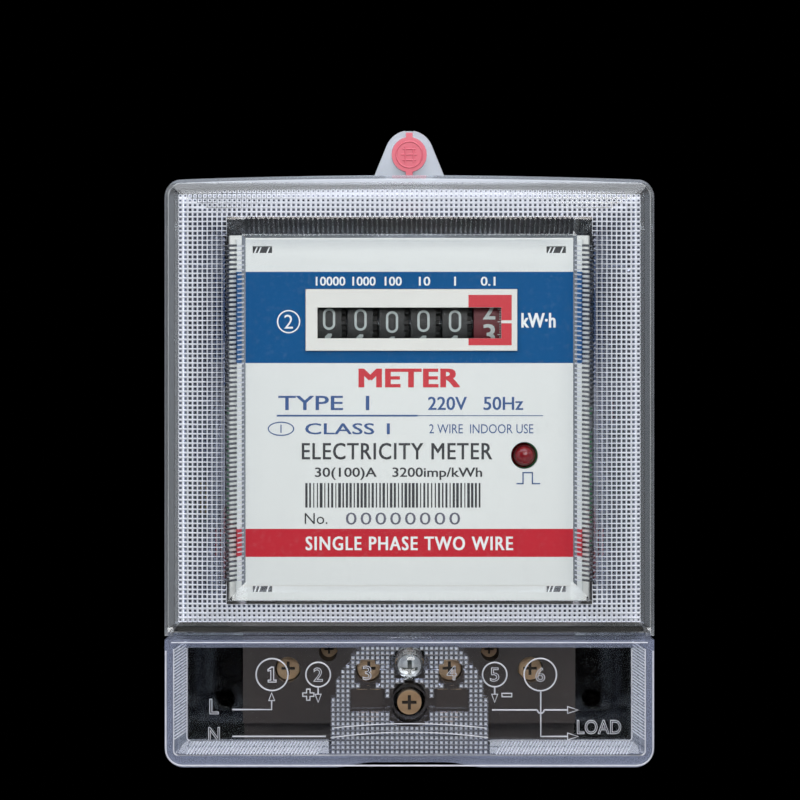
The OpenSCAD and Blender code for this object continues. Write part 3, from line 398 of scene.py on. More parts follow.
def frosted(name, milky_painted_light, centre_at, span, across, up, inverted=False):
    """Paints light and shade on prism textured plastic. Spots grow or shrink from one share to another: across
    and up are (from, to, start, end).
    """
    made, tree, where, glass = clear_plastic(name, "#f4f8fc", 0.03, 0.0)
    scaled = add(tree, "ShaderNodeVectorMath", {1: (1000 / PITCH[0], 0.0, 1000 / PITCH[1])},
                 {0: where}, operation="MULTIPLY")
    inside = add(tree, "ShaderNodeVectorMath", None, {0: scaled.outputs[0]}, operation="FRACTION")
    off = add(tree, "ShaderNodeVectorMath", {1: (0.5, 0.0, 0.5)}, {0: inside.outputs[0]}, operation="SUBTRACT")
    away = add(tree, "ShaderNodeVectorMath", None, {0: off.outputs[0]}, operation="ABSOLUTE")
    parts = add(tree, "ShaderNodeSeparateXYZ", None, {0: away.outputs[0]})
    reach = add(tree, "ShaderNodeMath", None, {0: parts.outputs[0], 1: parts.outputs[2]}, operation="MAXIMUM")
    spot = place(*centre_at)
    centre = add(tree, "ShaderNodeVectorMath", {1: (spot.x, 0, spot.z)}, {0: where}, operation="SUBTRACT")
    scale = add(tree, "ShaderNodeVectorMath", {1: (1000 / span[0], 0.0, 1000 / span[1])},
                {0: centre.outputs[0]}, operation="MULTIPLY")
    out = add(tree, "ShaderNodeVectorMath", None, {0: scale.outputs[0]}, operation="ABSOLUTE")
    ends = add(tree, "ShaderNodeSeparateXYZ", None, {0: out.outputs[0]})
    wide = add(tree, "ShaderNodeMapRange", {1: across[0], 2: across[1], 3: across[2], 4: across[3]},
               {0: ends.outputs[0]})
    tall = add(tree, "ShaderNodeMapRange", {1: up[0], 2: up[1], 3: up[2], 4: up[3]}, {0: ends.outputs[2]})
    size = add(tree, "ShaderNodeMath", None, {0: wide.outputs[0], 1: tall.outputs[0]}, operation="MINIMUM")
    dark = add(tree, "ShaderNodeMath", None, {0: reach.outputs[0], 1: size.outputs[0]},
               operation="GREATER_THAN" if inverted else "LESS_THAN")
    # the glass in each spot is tinted dark: painted shade where the eye looks into the case
    glass.inputs["Base Color"].default_value = linear("#5c6380")
    # the milky share between the spots is painted light, as the facets scatter it
    white = add(tree, "ShaderNodeBsdfPrincipled",
                {"Base Color": linear(milky_painted_light), "Roughness": 0.3, "Transmission Weight": 0.35, "IOR": 1.585})
    mixed = add(tree, "ShaderNodeMixShader", None, {0: dark.outputs[0], 1: white.outputs[0],
                                                    2: glass.outputs[0]})
    pass_light(tree, mixed.outputs[0], "#d5d9de")
    return made


prism = frosted("polycarbonate, prism textured", "#e6eaf6", (0, 84), (57.5, 56.0),
                (0.739, 0.99, 0.485, 0.2), (0.70, 0.93, 0.49, 0.1))
prism_arch = frosted("polycarbonate, prism textured arch", "#c6ccdc", (0, 14), (20, 20),
                     (0.0, 1.0, 0.27, 0.27), (0.0, 0.6, 0.25, 0.32), True)
prism_low = frosted("polycarbonate, ribbed bevel", "#c6ccda", (0, 14), (20, 20),
                    (0.0, 1.0, 0.1, 0.1), (0.0, 1.0, 0.1, 0.1))
# a rib's steep flank sends the eye to the dark inside of the case, so it reads as black; its glass is tinted
# near black as painted shade
rib_painted_shade, tree, _, glass = clear_plastic("polycarbonate, rib flank", "#23262f", 0.08, 0.0)
pass_light(tree, glass.outputs[0], "#8e939c")

# %% [markdown]
# Each piece of the frame belongs to a slot of the record, and each slot has one
# finish. The terminal cover is moulded apart from the main one, and its finish
# paints light on other edges.

# %% Dress the frame
SLOT_OF = {part["node"]: part["material_slot"] for part in frame["record"]["subparts"]}


def dress(name, look):
    holder = nodes[name]
    if not holder.material_slots:
        holder.data.materials.append(look)
    for slot in holder.material_slots:
        slot.material = look


def clear_coloured(name, colour, rough, density):
    made, tree, _ = empty_material(name)
    body = add(tree, "ShaderNodeBsdfPrincipled",
               {"Base Color": linear(colour), "Roughness": rough, "IOR": 1.5, "Transmission Weight": density,
                "Coat Weight": 0.3})
    add(tree, "ShaderNodeOutputMaterial", None, {"Surface": body.outputs[0]})
    return made


FINISHES["light_red"] = clear_coloured("red epoxy, cast", "#a01c26", 0.08, 0.45)
FINISHES["seal_plastic"] = clear_coloured("pink polypropylene, moulded", "#e2667c", 0.35, 0.3)
for name, slot in SLOT_OF.items():
    dress(name, FINISHES[slot])
dress("terminal_cover", lower_clear)
print(len(SLOT_OF), "pieces dressed")

# %% [markdown]
# The texture is cut by a die, as it is in the real mould. The die is a sheet of
# square faces that follows the crest of the cover. A Geometry Nodes tree draws
# each square to a point, like the teeth of a meat hammer, and closes the sheet
# into a solid, which is then taken away from the cover.

# %% Die for the prism texture


def new_tree(name, **inputs):
    """A Geometry Nodes tree with named inputs, listed by their kind, and the sockets to read them from."""
    tree = bpy.data.node_groups.new(name, "GeometryNodeTree")
    tree.interface.new_socket("Geometry", in_out="INPUT", socket_type="NodeSocketGeometry")
    for kind, labels in inputs.items():
        for label in labels:
            tree.interface.new_socket(label, in_out="INPUT", socket_type="NodeSocket" + kind)
    tree.interface.new_socket("Finish", in_out="INPUT", socket_type="NodeSocketMaterial")
    tree.interface.new_socket("Geometry", in_out="OUTPUT", socket_type="NodeSocketGeometry")
    return tree, add(tree, "NodeGroupInput").outputs


def close_tree(tree, shape, look):
    """Ends a tree: copies become real geometry, and all of it gets one finish."""
    real = add(tree, "GeometryNodeRealizeInstances", None, {0: shape})
    named = add(tree, "GeometryNodeSetMaterial", None, {"Geometry": real.outputs[0], "Material": look})
    add(tree, "NodeGroupOutput", None, {0: named.outputs[0]})
    return tree


def die_tree():
    tree, sizes = new_tree("prism die", Float=["Depth", "Reach"])
    block = add(tree, "GeometryNodeExtrudeMesh", {"Offset": (0, -1, 0), "Individual": False},
                {"Mesh": sizes["Geometry"], "Offset Scale": sizes["Reach"]}, mode="FACES")
    turned = add(tree, "GeometryNodeFlipFaces", None, {0: sizes["Geometry"]})
    teeth = add(tree, "GeometryNodeExtrudeMesh", {"Offset": (0, 1, 0), "Individual": True},
                {"Mesh": turned.outputs[0], "Offset Scale": sizes["Depth"]}, mode="FACES")
    points = add(tree, "GeometryNodeScaleElements", {"Scale": 0.0},
                 {"Geometry": teeth.outputs["Mesh"], "Selection": teeth.outputs["Top"]}, domain="FACE")
    both = add(tree, "GeometryNodeJoinGeometry", None, {0: block.outputs["Mesh"]})
    tree.links.new(points.outputs[0], both.inputs[0])
    welded = add(tree, "GeometryNodeMergeByDistance", {"Distance": 0.000002}, {0: both.outputs[0]})
    return close_tree(tree, welded.outputs[0], sizes["Finish"])


def mesh_object(name, points, faces):
    data = bpy.data.meshes.new(name)
    data.from_pydata([tuple(p) for p in points], [], faces)
    data.update()
    return link(name, data)


def settled(holder):
    """A plain mesh of an object as its modifiers and thickness leave it."""
    return bpy.data.meshes.new_from_object(holder.evaluated_get(bpy.context.evaluated_depsgraph_get()))


def grow(holder, tree, **sizes):
    """Runs a Geometry Nodes tree on holder and leaves its result as a plain mesh."""
    step = holder.modifiers.new("grow", "NODES")
    step.node_group = tree
    keys = {s.name: s.identifier for s in tree.interface.items_tree if s.in_out == "INPUT"}
    for label, value in sizes.items():
        step[keys[label]] = value
    holder.update_tag()
    result = settled(holder)
    holder.modifiers.remove(step)
    result.materials.clear()
    result.materials.append(sizes["Finish"])
    result.polygons.foreach_set("material_index", [0] * len(result.polygons))
    holder.data = result
    return holder


DIE = die_tree()
DIE_REACH, DIE_SINK = 4.0, 0.02


def die(name, surface, keep, x_range, z_range, look, depth):
    """A die over the squares whose middle passes keep(x, z), on the surface surface(x, z)."""
    across, up = PITCH
    index, points, faces = {}, [], []

    def corner(i, j):
        if (i, j) not in index:
            index[i, j] = len(points)
            x, z = i * across, j * up
            points.append((x / 1000, -(surface(x, z - FOOT) - DIE_SINK) / 1000, z / 1000))
        return index[i, j]

    for i in range(math.floor(x_range[0] / across), math.ceil(x_range[1] / across)):
        for j in range(math.floor((z_range[0] + FOOT) / up), math.ceil((z_range[1] + FOOT) / up)):
            if keep((i + 0.5) * across, (j + 0.5) * up - FOOT):
                faces.append([corner(i, j), corner(i + 1, j), corner(i + 1, j + 1), corner(i, j + 1)])
    made = mesh_object(name, points, faces)
    print(name, len(faces), "pits")
    return grow(made, DIE, Depth=depth / 1000, Reach=DIE_REACH / 1000, Finish=look)


SIDE_SLOPE, TOP_SLOPE, FOOT_SLOPE = 0.126, 0.206, 0.298
TEXTURE_IN, TEXTURE_SIDE, TEXTURE_LOW, TEXTURE_TOP = 0.6, 3.2, 33.6, 135.6


def crest_surface(x, z):
    """Depth of the cover's front, which falls away from the crest on four sides."""
    fall = max(0.0, (abs(x) - CREST_X) * SIDE_SLOPE, (z - CREST_TOP) * TOP_SLOPE, (CREST_LOW - z) * FOOT_SLOPE)
    return CREST - fall


def on_crest(x, z):
    beyond = max(abs(x) - CREST_X, z - CREST_TOP, CREST_LOW - z)
    return beyond > TEXTURE_IN and abs(x) < CASE_R - TEXTURE_SIDE and TEXTURE_LOW < z < TEXTURE_TOP


cover_die = die("cover_die", crest_surface, on_crest, (-56, 56), (32, 137), prism, 0.5)

# %% [markdown]
# The bevels round both windows carry fine ribs. Each set is one four-sided rod,
# repeated along a straight line by a second tree and cut out of the cover.

# %% Ribs


def rib_tree():
    tree, sizes = new_tree("ribs", Vector=["From", "To", "Step"], Int=["Count"], Float=["Radius"])
    line = add(tree, "GeometryNodeCurvePrimitiveLine", None, {"Start": sizes["From"], "End": sizes["To"]})
    section = add(tree, "GeometryNodeCurvePrimitiveCircle", {"Resolution": 4}, {"Radius": sizes["Radius"]})
    rod = add(tree, "GeometryNodeCurveToMesh", {"Fill Caps": True},
              {"Curve": line.outputs[0], "Profile Curve": section.outputs[0]})
    row = add(tree, "GeometryNodeMeshLine", None, {"Count": sizes["Count"], "Offset": sizes["Step"]})
    ribs = add(tree, "GeometryNodeInstanceOnPoints", None,
               {"Points": row.outputs[0], "Instance": rod.outputs[0]})
    return close_tree(tree, ribs.outputs[0], sizes["Finish"])


RIBS = rib_tree()


def ribs(name, start, end, step, count, radius, look):
    made = mesh_object(name, [(0, 0, 0)], [])
    step = Vector((step[0], 0, step[1])) / 1000
    return grow(made, RIBS, From=start, To=end, Step=step, Count=count, Radius=radius / 1000, Finish=look)


def merged_copy(node, name):
    data = nodes[node].data.copy()
    shell = bmesh.new()
    shell.from_mesh(data)
    bmesh.ops.remove_doubles(shell, verts=shell.verts, dist=0.000002)
    shell.to_mesh(data)
    shell.free()
    data.update()
    return link(name, data)


def cut(body, cutters):
    for cutter in cutters:
        for look in cutter.data.materials:
            if look.name not in body.data.materials:
                body.data.materials.append(look)
        step = body.modifiers.new("cut", "BOOLEAN")
        step.operation, step.object, step.solver = "DIFFERENCE", cutter, "MANIFOLD"
        step.material_mode = "TRANSFER"
        before = len(body.data.polygons)
        body.data = settled(body)
        body.modifiers.remove(step)
        print(cutter.name, before, "->", len(body.data.polygons), "faces")
        bpy.data.objects.remove(cutter)
    return body


cover = merged_copy("main_cover", "cover_moulding")
WINDOW_X, WINDOW_LOW, WINDOW_TOP, WINDOW_D = 38.4, 43.2, 123.9, CREST - 4.5
# label, x and depth of both ends, radius and finish of the rows beside the window
ROWS = [("outer", 43.4, CREST + 0.05, 42.3, CREST + 0.05, 0.4, rib_painted_shade),
        ("steep", 42.6, CREST + 0.3, 40.2, CREST - 2.3, 0.42, rib_painted_shade),
        ("inner", 40.1, CREST - 2.5, 38.7, CREST - 4.1, 0.24, prism_low)]
bevel_ribs = []
for side in (-1, 1):
    for label, x0, d0, x1, d1, radius, look in ROWS:
        bevel_ribs.append(ribs(f"ribs_{label}_{side + 1}", place(side * x0, WINDOW_LOW + 0.5, d0),
                               place(side * x1, WINDOW_LOW + 0.7, d1), (0, 1.1), 72, radius, look))
start = place(-WINDOW_X + 0.4, CREST_TOP + 0.2, CREST + 0.25)
end = place(-WINDOW_X + 0.4, WINDOW_TOP + 0.8, WINDOW_D + 0.95)
bevel_ribs.append(ribs("ribs_top", start, end, (1.15, 0), 67, 0.46, rib_painted_shade))
cut(cover, [cover_die] + bevel_ribs)
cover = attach(cover, "main_cover")
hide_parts("main_cover")
print("cover", len(cover.data.polygons), "faces", [m.name for m in cover.data.materials])

# %% [markdown]
# The terminal cover is dressed the same way. Its arched middle is prism textured
# except round the screw well, the two numbered discs, the bubble and the slots for
# the seal wire, and the bevels on its three outer sides carry slanting ribs.

# %% Terminal cover
COVER_FRONT = extent("terminal_cover")[5]
ARCH_FRONT, ARCH_SPRING, ARCH_LOW, ARCH_TOP = 54.0, 13, 3.2, 28.7
# x, z and radius of the screw well, the two numbered discs and the bubble
KEEP_CLEAR = [(0, 14.7, 5.4), (-9.9, 22.1, 3.3), (9.9, 22.1, 3.3), (0, 24.6, 4.4)]


def on_arch(x, z):
    """Whether a pit at x, z lies on the arch: a strip below its spring and half an oval above."""
    if z < ARCH_LOW or z > ARCH_TOP or abs(x) > 18.3:
        return False
    if z > ARCH_SPRING and (x / 18.2) ** 2 + ((z - ARCH_SPRING) / 18.9) ** 2 > 1:
        return False
    if any(math.hypot(x - cx, z - cz) < r for cx, cz, r in KEEP_CLEAR):
        return False
    return not (5.9 < abs(x) < 13.9 and 13.5 < z < 18.8)


arch_die = die("arch_die", lambda x, z: ARCH_FRONT, on_arch, (-20, 20), (2, 31), prism_arch, 0.45)
lower = merged_copy("terminal_cover", "terminal_cover_moulding")
lower_ribs = []
for side in (-1, 1):
    start, end = place(side * 55.0, 6.6, 54.15), place(side * 52.3, 8.4, 51.5)
    lower_ribs.append(ribs(f"lower_ribs_side_{side + 1}", start, end, (0, 0.72), 30, 0.22, prism_low))
    first = 20.3 if side > 0 else -52.0
    start, end = place(first, 3.2, 54.15), place(first + 1.8, 6.0, 51.5)
    lower_ribs.append(ribs(f"lower_ribs_foot_{side + 1}", start, end, (0.74, 0), 42, 0.22, prism_low))
cut(lower, [arch_die] + lower_ribs)
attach(lower, "terminal_cover")
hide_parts("terminal_cover")

# %% [markdown]
# The diagram on the terminal cover is moulded in as raised lines, which catch the
# light along their tops; their pale colour is painted light. A line is a curve with
# a round section, and the letters are drawn by their outlines in the same way.

# %% Raised marks
RAISED_PAINTED_LIGHT, tree, where = empty_material("polycarbonate, raised line")
# pale tones, varied at random, paint the light on the clear raised lines
painted_light_mottle = add(tree, "ShaderNodeTexNoise", {"Scale": 300.0, "Detail": 2.0}, {"Vector": where})
tone = add(tree, "ShaderNodeMix", {6: linear("#b9bdcc"), 7: linear("#e8eaf2")}, {0: painted_light_mottle.outputs["Fac"]},
           data_type="RGBA")
surface = add(tree, "ShaderNodeBsdfPrincipled", {"Roughness": 0.25, "Transmission Weight": 0.25, "IOR": 1.585},
              {"Base Color": tone.outputs[2]})
add(tree, "ShaderNodeOutputMaterial", None, {"Surface": surface.outputs[0]})


def typed(text, **settings):
    """Points, faces and size of a line of letters about one unit high, centred on nought."""
    curve = bpy.data.curves.new("letters", "FONT")
    curve.body, curve.size, curve.align_x, curve.resolution_u = text, 1.0, "CENTER", 3
    for key, value in settings.items():
        setattr(curve, key, value)
    holder = link("letters", curve)
    data = settled(holder)
    bpy.data.objects.remove(holder)
    points, faces = np.array([v.co for v in data.vertices]), [list(f.vertices) for f in data.polygons]
    bpy.data.meshes.remove(data)
    low, high = points.min(0), points.max(0)
    return points - (high + low) / 2, faces, high - low


def joined(shapes):
    """Several shapes, each its points and faces, as one."""
    points, faces = [], []
    for shape, some in shapes:
        faces += [[i + len(points) for i in face] for face in some]
        points += list(shape)
    return np.array(points), faces


def outline_letters(text, height, width, line):
    points, faces, size = typed(text, fill_mode="NONE", bevel_depth=line / height * 0.36, bevel_resolution=1)
    return points * np.array([width / size[0], height / size[1], height / size[1]]), faces


def raised(name, depth, lines, letters=(), body="terminal_cover", line=0.18):
    """Lines, each its points and whether it closes, and outlined letters as one raised mark."""
    curve = bpy.data.curves.new(name, "CURVE")
    curve.dimensions, curve.bevel_depth, curve.bevel_resolution = "3D", line / 1000, 2
    curve.use_fill_caps = True
    for points, closed in lines:
        spline = curve.splines.new("POLY")
        spline.points.add(len(points) - 1)
        for target, (x, z) in zip(spline.points, points):
            target.co = (*place(x, z, depth), 1)
        spline.use_cyclic_u = closed
    holder = link(name, curve)
    data = settled(holder)
    bpy.data.objects.remove(holder)
    shapes = [([tuple(v.co) for v in data.vertices], [list(f.vertices) for f in data.polygons])]
    for text, x, z, height, width in letters:
        shape, faces = outline_letters(text, height, width, line)
        shapes.append(([place(x + p[0], z + p[1], depth + p[2]) for p in shape], faces))
    made = mesh_object(name, *joined(shapes))
    made.data.polygons.foreach_set("use_smooth", [True] * len(made.data.polygons))
    made.data.materials.append(RAISED_PAINTED_LIGHT)
    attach(made, body)
    return made


def ring(x, z, r, steps=36):
    return [(x + r * math.cos(2 * math.pi * k / steps), z + r * math.sin(2 * math.pi * k / steps))
            for k in range(steps)], True


def arrow(x, z, dx, dz, long=2.0, half=0.75):
    """An open arrow head whose tip is at x, z, pointing along dx, dz."""
    bx, bz = x - dx * long, z - dz * long
    return [(x, z), (bx - dz * half, bz + dx * half), (bx + dz * half, bz - dx * half)], True


LOWER_D = COVER_FRONT - 1.8 - 2.8
LINE_L, LINE_N, DISC_Z = 13.3, 7.0, 21.5
hop = [(30.8 - 0.8 * math.cos(a), 13.2 - 0.8 * math.sin(a)) for a in np.linspace(0, math.pi, 7)]
minus = [(21.7, 16.3), (24.0, 16.3), (24.0, 17.1), (21.7, 17.1)]
plus = [(-25.0, 16.4), (-24.1, 16.4), (-24.1, 15.5), (-23.3, 15.5), (-23.3, 16.4), (-22.4, 16.4),
        (-22.4, 17.2), (-23.3, 17.2), (-23.3, 18.1), (-24.1, 18.1), (-24.1, 17.2), (-25.0, 17.2)]
one = [(0.35, 1.75), (-0.15, 1.75), (-0.95, 1.2), (-0.95, 0.8), (-0.3, 1.0), (-0.3, -1.3), (-0.9, -1.3),
       (-0.9, -1.75), (0.95, -1.75), (0.95, -1.3), (0.35, -1.3)]
diagram = [ring(-32.2, DISC_Z, 3.75), ring(-21.4, DISC_Z, 2.88), ring(20.0, DISC_Z, 2.86),
           ring(30.7, DISC_Z, 3.8), ([(-41.5, LINE_L), (-32.3, LINE_L), (-32.3, 15.4)], False),
           arrow(-32.3, 17.2, 0, 1, 1.8, 0.7), ([(-41.5, LINE_N), (-19.6, LINE_N)], False),
           ([(-21.4, 18.6), (-21.4, 17.0)], False), arrow(-21.4, 15.0, 0, -1, 1.9, 0.7),
           ([(20.0, 18.6), (20.0, 17.0)], False), arrow(20.0, 15.0, 0, -1, 1.9, 0.7),
           ([(30.8, 17.7), (30.8, LINE_N), (37.1, LINE_N)], False), arrow(39.6, LINE_N, 1, 0, 2.5, 0.8),
           ([(19.4, 13.2), (30.0, 13.2)], False), (hop, False), ([(31.6, 13.2), (37.1, 13.2)], False),
           arrow(39.6, 13.2, 1, 0, 2.5, 0.8), (minus, True), (plus, True),
           ([(-32.2 + x, DISC_Z + z) for x, z in one], True)]
words = [("2", -21.4, DISC_Z, 3.3, 2.2), ("5", 20.0, DISC_Z, 3.3, 2.2), ("6", 30.7, DISC_Z, 3.4, 2.3),
         ("L", -45.8, 14.0, 3.6, 2.2), ("N", -45.8, 7.5, 3.4, 2.7), ("LOAD", 44.5, 9.2, 3.4, 10.4)]
raised("cover_diagram", LOWER_D + 0.05, diagram, words)
raised("cover_numbers", ARCH_FRONT - 0.6, [], [("3", -9.9, 22.1, 3.4, 2.1), ("4", 9.9, 22.1, 3.4, 2.4)])

# %% [markdown]
# The cover's own edges catch light in the same way. Thin pale beads of painted
# light follow its outer edge, its rim, its window and its top, and two bows of the
# same painted light cross the foot of the arch.

# %% Edges of the terminal cover
LOWER_SIDE = 57.25


def rim(inset, corner, low, top):
    """The outline of the terminal cover, inset from its sides, from one upper corner round to the other."""
    side = LOWER_SIDE - inset
    bend = [(corner * math.sin(a), corner * (1 - math.cos(a))) for a in np.linspace(0, math.pi / 2, 7)]
    left = [(-side, top)] + [(-side + corner - dx, low + dz) for dx, dz in reversed(bend)]
    return left + [(-x, z) for x, z in reversed(left)]


# pale beads on the cover's edges: painted highlights
raised("cover_painted_light_bead_outer", COVER_FRONT - 0.02, [(rim(0.5, 3.9, 0.75, 27.5), False)], line=0.2)
for label, edge, x, z, behind, line in (("rim", rim(2.35, 1.0, 3.15, 27.9), 18.9, 3.15, 0.02, 0.16),
                                        ("window", rim(5.2, 0.8, 6.25, 27.9), 18.6, 6.25, 2.85, 0.12)):
    # each half runs the whole foot and ends beside the arch, so the foot is drawn twice
    halves = [(edge[:9] + [(-x, z)], False), ([(x, z)] + edge[-9:], False)]
    raised("cover_painted_light_bead_" + label, COVER_FRONT - behind, halves, line=line)
raised("cover_painted_light_bead_top", COVER_FRONT - 0.05, [([(-55.5, 29.4), (55.5, 29.4)], False)], line=0.14)
bows = [([(x, z - drop * (x / 18.5) ** 2) for x in np.linspace(-half, half, 25)], False)
        for half, z, drop in ((18.4, 8.3, 1.3), (17.6, 10.3, 1.1))]
raised("cover_painted_light_bows", ARCH_FRONT + 0.02, bows, line=0.14)

# %% [markdown]
# The seal plug is stamped so that it can't be swapped unseen. Here the stamp is
# a plain ring with a few bars inside it.

# %% Seal plug
_, _, SEAL_LOW, SEAL_TOP, _, SEAL_FRONT = extent("seal_plug")
SEAL_Z = (SEAL_LOW + SEAL_TOP) / 2
bars = [((-1.6, 1.3), (1.6, 1.3)), ((-1.9, 0), (1.9, 0)), ((-1.6, -1.3), (1.6, -1.3)),
        ((-1.0, -1.9), (-1.0, 1.9)), ((1.0, -1.9), (1.0, 1.9))]
stamp = [ring(0, SEAL_Z, 3.1)] + [([(x, SEAL_Z + z) for x, z in ends], False) for ends in bars]
mark = raised("seal_stamp", SEAL_FRONT, stamp, body="seal_plug", line=0.2)
mark.data.materials[0] = FINISHES["seal_plastic"]

# %% [markdown]
# Ink and raised marks are thin solids, not pictures. Letters come from Blender's
# own font as curves that are given a little thickness, turned into a mesh, scaled
# to a real height and width and stood up in front of their sheet. Only plain
# words, numbers and units are used.

# %% Inks and lettering


def ink(name, colour, rough=0.45):
    return finish(name, colour, colour, 0.3, (rough, rough + 0.1), 0.002)


WHITE_INK = ink("white screen ink", "#eef1f2")
BLUE_INK = ink("dark blue screen ink", "#2b4f86")
BLACK_INK = ink("black screen ink", "#26282d")
RED_INK = ink("red screen ink", "#c22634")
# flat shapes are drawn this far to both sides of nought, and get their real thickness later
LEAF = 0.02


def flat_letters(text, height, width=None, gap=1.0, bold=0.0):
    """Points and faces of a line of letters, lying in x and z in millimetres, centred on x.
    bold thickens the strokes by laying copies that far apart, in millimetres."""
    points, faces, size = typed(text, space_character=gap, extrude=LEAF)
    tall = height / size[1]
    wide = (width - bold) / size[0] if width else tall
    points = points * np.array([wide, tall, 1.0])
    if not bold:
        return points, faces
    # each copy is a little thinner than the one before, so that no two faces coincide
    places = [(-bold / 2, -bold / 5, 1.0), (bold / 2, -bold / 5, 0.96), (-bold / 2, bold / 5, 0.92),
              (bold / 2, bold / 5, 0.88)]
    return joined([(points * np.array([1, 1, up]) + np.array([x, z, 0]), faces) for x, z, up in places])


def word(text, x, z, height, width=None, gap=1.0, bold=0.0):
    return shift(flat_letters(text, height, width, gap, bold), x, z)


def bar(x0, x1, z0, z1):
    """A flat strip as points and faces, in the same form as the letters."""
    points = [(x, z, y) for y in (-LEAF, LEAF) for x, z in ((x0, z0), (x1, z0), (x1, z1), (x0, z1))]
    faces = [(0, 3, 2, 1), (4, 5, 6, 7), (0, 1, 5, 4), (1, 2, 6, 5), (2, 3, 7, 6), (3, 0, 4, 7)]
    return np.array(points), faces


def loop(x, z, rx, rz, line, steps=40):
    """A flat ring or oval."""
    turns = [2 * math.pi * k / steps for k in range(steps)]
    points = [(x + (rx + s) * math.cos(a), z + (rz + s) * math.sin(a), y)
              for y in (-LEAF, LEAF) for s in (-line / 2, line / 2) for a in turns]
    faces = []
    for k in range(steps):
        n = (k + 1) % steps
        a, b, c, d = k, steps + k, 2 * steps + k, 3 * steps + k
        e, f, g, h = n, steps + n, 2 * steps + n, 3 * steps + n
        faces += [(a, e, f, b), (c, d, h, g), (b, f, h, d), (a, c, g, e)]
    return np.array(points), faces


def slab(corners):
    """A flat shape with any outline, in the same form as the letters."""
    n = len(corners)
    points = [(x, z, y) for y in (-LEAF, LEAF) for x, z in corners]
    faces = [tuple(range(n))[::-1], tuple(range(n, 2 * n))]
    return np.array(points), faces + [(k, (k + 1) % n, n + (k + 1) % n, n + k) for k in range(n)]


def shift(shape, x, z):
    points, faces = shape
    return points + np.array([x, z, 0.0]), faces


def printed(name, shapes, look, depth=PLATE_FRONT, body="case", thick=0.03):
    """Joins flat shapes into one thin solid whose back is at depth, riding on body."""
    points, faces = joined(shapes)
    places = [place(x, z, depth + thick * (0.5 + y / (2 * LEAF))) for x, z, y in points]
    made = mesh_object(name, places, faces)
    shell = bmesh.new()
    shell.from_mesh(made.data)
    bmesh.ops.remove_doubles(shell, verts=shell.verts, dist=0.000001)
    bmesh.ops.recalc_face_normals(shell, faces=shell.faces)
    shell.to_mesh(made.data)
    shell.free()
    made.data.materials.append(look)
    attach(made, body)
    return made


# %% [markdown]
# The print follows the real plate: the value of each drum over its window, the
# unit beside it, and under the blue band the ratings, a bar code and a number.

# %% Nameplate print
DRUMS = ["drum_ten_thousands", "drum_thousands", "drum_hundreds", "drum_tens", "drum_units", "drum_tenths"]
middle = [sum(extent(n)[0:2]) / 2 for n in DRUMS]
decades = zip(("10000", "1000", "100", "10", "1", "0.1"), (-18.6, -10.7, -3.8, 3.6, 10.8, 18.6),
              (7.0, 5.5, 4.05, 2.7, None, 3.5))
printed("print_decades", [word(t, x, 113.95, 2.1, w, bold=0.12) for t, x, w in decades], WHITE_INK)
printed("print_unit", [word("kW·h", 30.5, 104.7, 3.4, 8.1, bold=0.22), word("2", -28.5, 104.4, 3.3),
                       loop(-28.5, 104.4, 2.6, 2.6, 0.32)], WHITE_INK)
printed("print_heading", [word("METER", 0, 91.1, 4.2, 24.0, 1.05, 0.6)], RED_INK)
printed("print_ratings", [
    word("TYPE  1", -20.2, 85.2, 3.3, 21.5, bold=0.15), word("220V", 9.0, 85.1, 3.1, 9.2, bold=0.14),
    word("50Hz", 22.2, 85.1, 3.1, 9.4, bold=0.14), bar(-31.3, 2.0, 82.0, 82.4), bar(2.0, 31.6, 82.1, 82.3),
    loop(-30.3, 79.1, 3.0, 1.55, 0.28), word("1", -30.3, 79.1, 1.9),
    word("CLASS 1", -14.6, 79.1, 2.6, 20.0, bold=0.12), word("2 WIRE  INDOOR USE", 17.0, 79.1, 2.2, 24.6)],
    BLUE_INK)
printed("print_title", [word("ELECTRICITY METER", -2.9, 73.8, 3.9, 45.0, 1.1, 0.16),
                        word("30(100)A", -15.0, 68.5, 2.9, 14.6, bold=0.12),
                        word("3200imp/kWh", 6.6, 68.5, 2.9, 21.2, bold=0.12),
                        word("No.", -22.0, 57.9, 2.6, 5.4)], BLACK_INK)
pulse = [bar(25.3, 27.0, 66.0, 66.3), bar(26.7, 27.0, 66.0, 68.9), bar(26.7, 29.2, 68.6, 68.9),
         bar(28.9, 29.2, 66.0, 68.9), bar(28.9, 30.9, 66.0, 66.3)]
printed("print_pulse_mark", pulse, BLUE_INK)
printed("print_footer", [word("SINGLE PHASE TWO WIRE", 0, 52.05, 3.2, 49.0, 1.15, 0.2)], WHITE_INK)

# %% [markdown]
# Slots near the four corners of the sheet get painted shade: a black bar behind
# each slot, with pale slanting strips in front of it.

# %% Painted shade in the slots of the sheet
SLOT_INSET, SLOT_HALF_WIDTH = 6.2, 2.25
for side in (-1, 1):
    for low, label in ((PLATE_TOP - 3.15, "top"), (PLATE_LOW + 1.65, "foot")):
        x = side * (PLATE_R - SLOT_INSET)
        # a black bar behind the slot: painted shade
        printed(f"hook_{label}_{side + 1}", [bar(x - SLOT_HALF_WIDTH, x + SLOT_HALF_WIDTH, low - 0.05, low + 1.45)],
                BLACK_INK, PLATE_FRONT - 0.9, thick=0.5)
        slants = [slab([(x + k, low), (x + k + 0.35, low), (x + k + 0.95, low + 1.4), (x + k + 0.6, low + 1.4)])
                  for k in (-2.0, -1.1, 0.9)]
        printed(f"slot_strips_{label}_{side + 1}", slants, WHITE_INK, PLATE_FRONT - 0.4, thick=0.1)

# %% [markdown]
# A bar code is one narrow bar repeated with chance widths, so a Geometry Nodes
# tree makes it: points along a line, each carrying a bar scaled by a random width
# from a fixed seed. The number under it is in a paler grey than the bars.

# %% Bar code


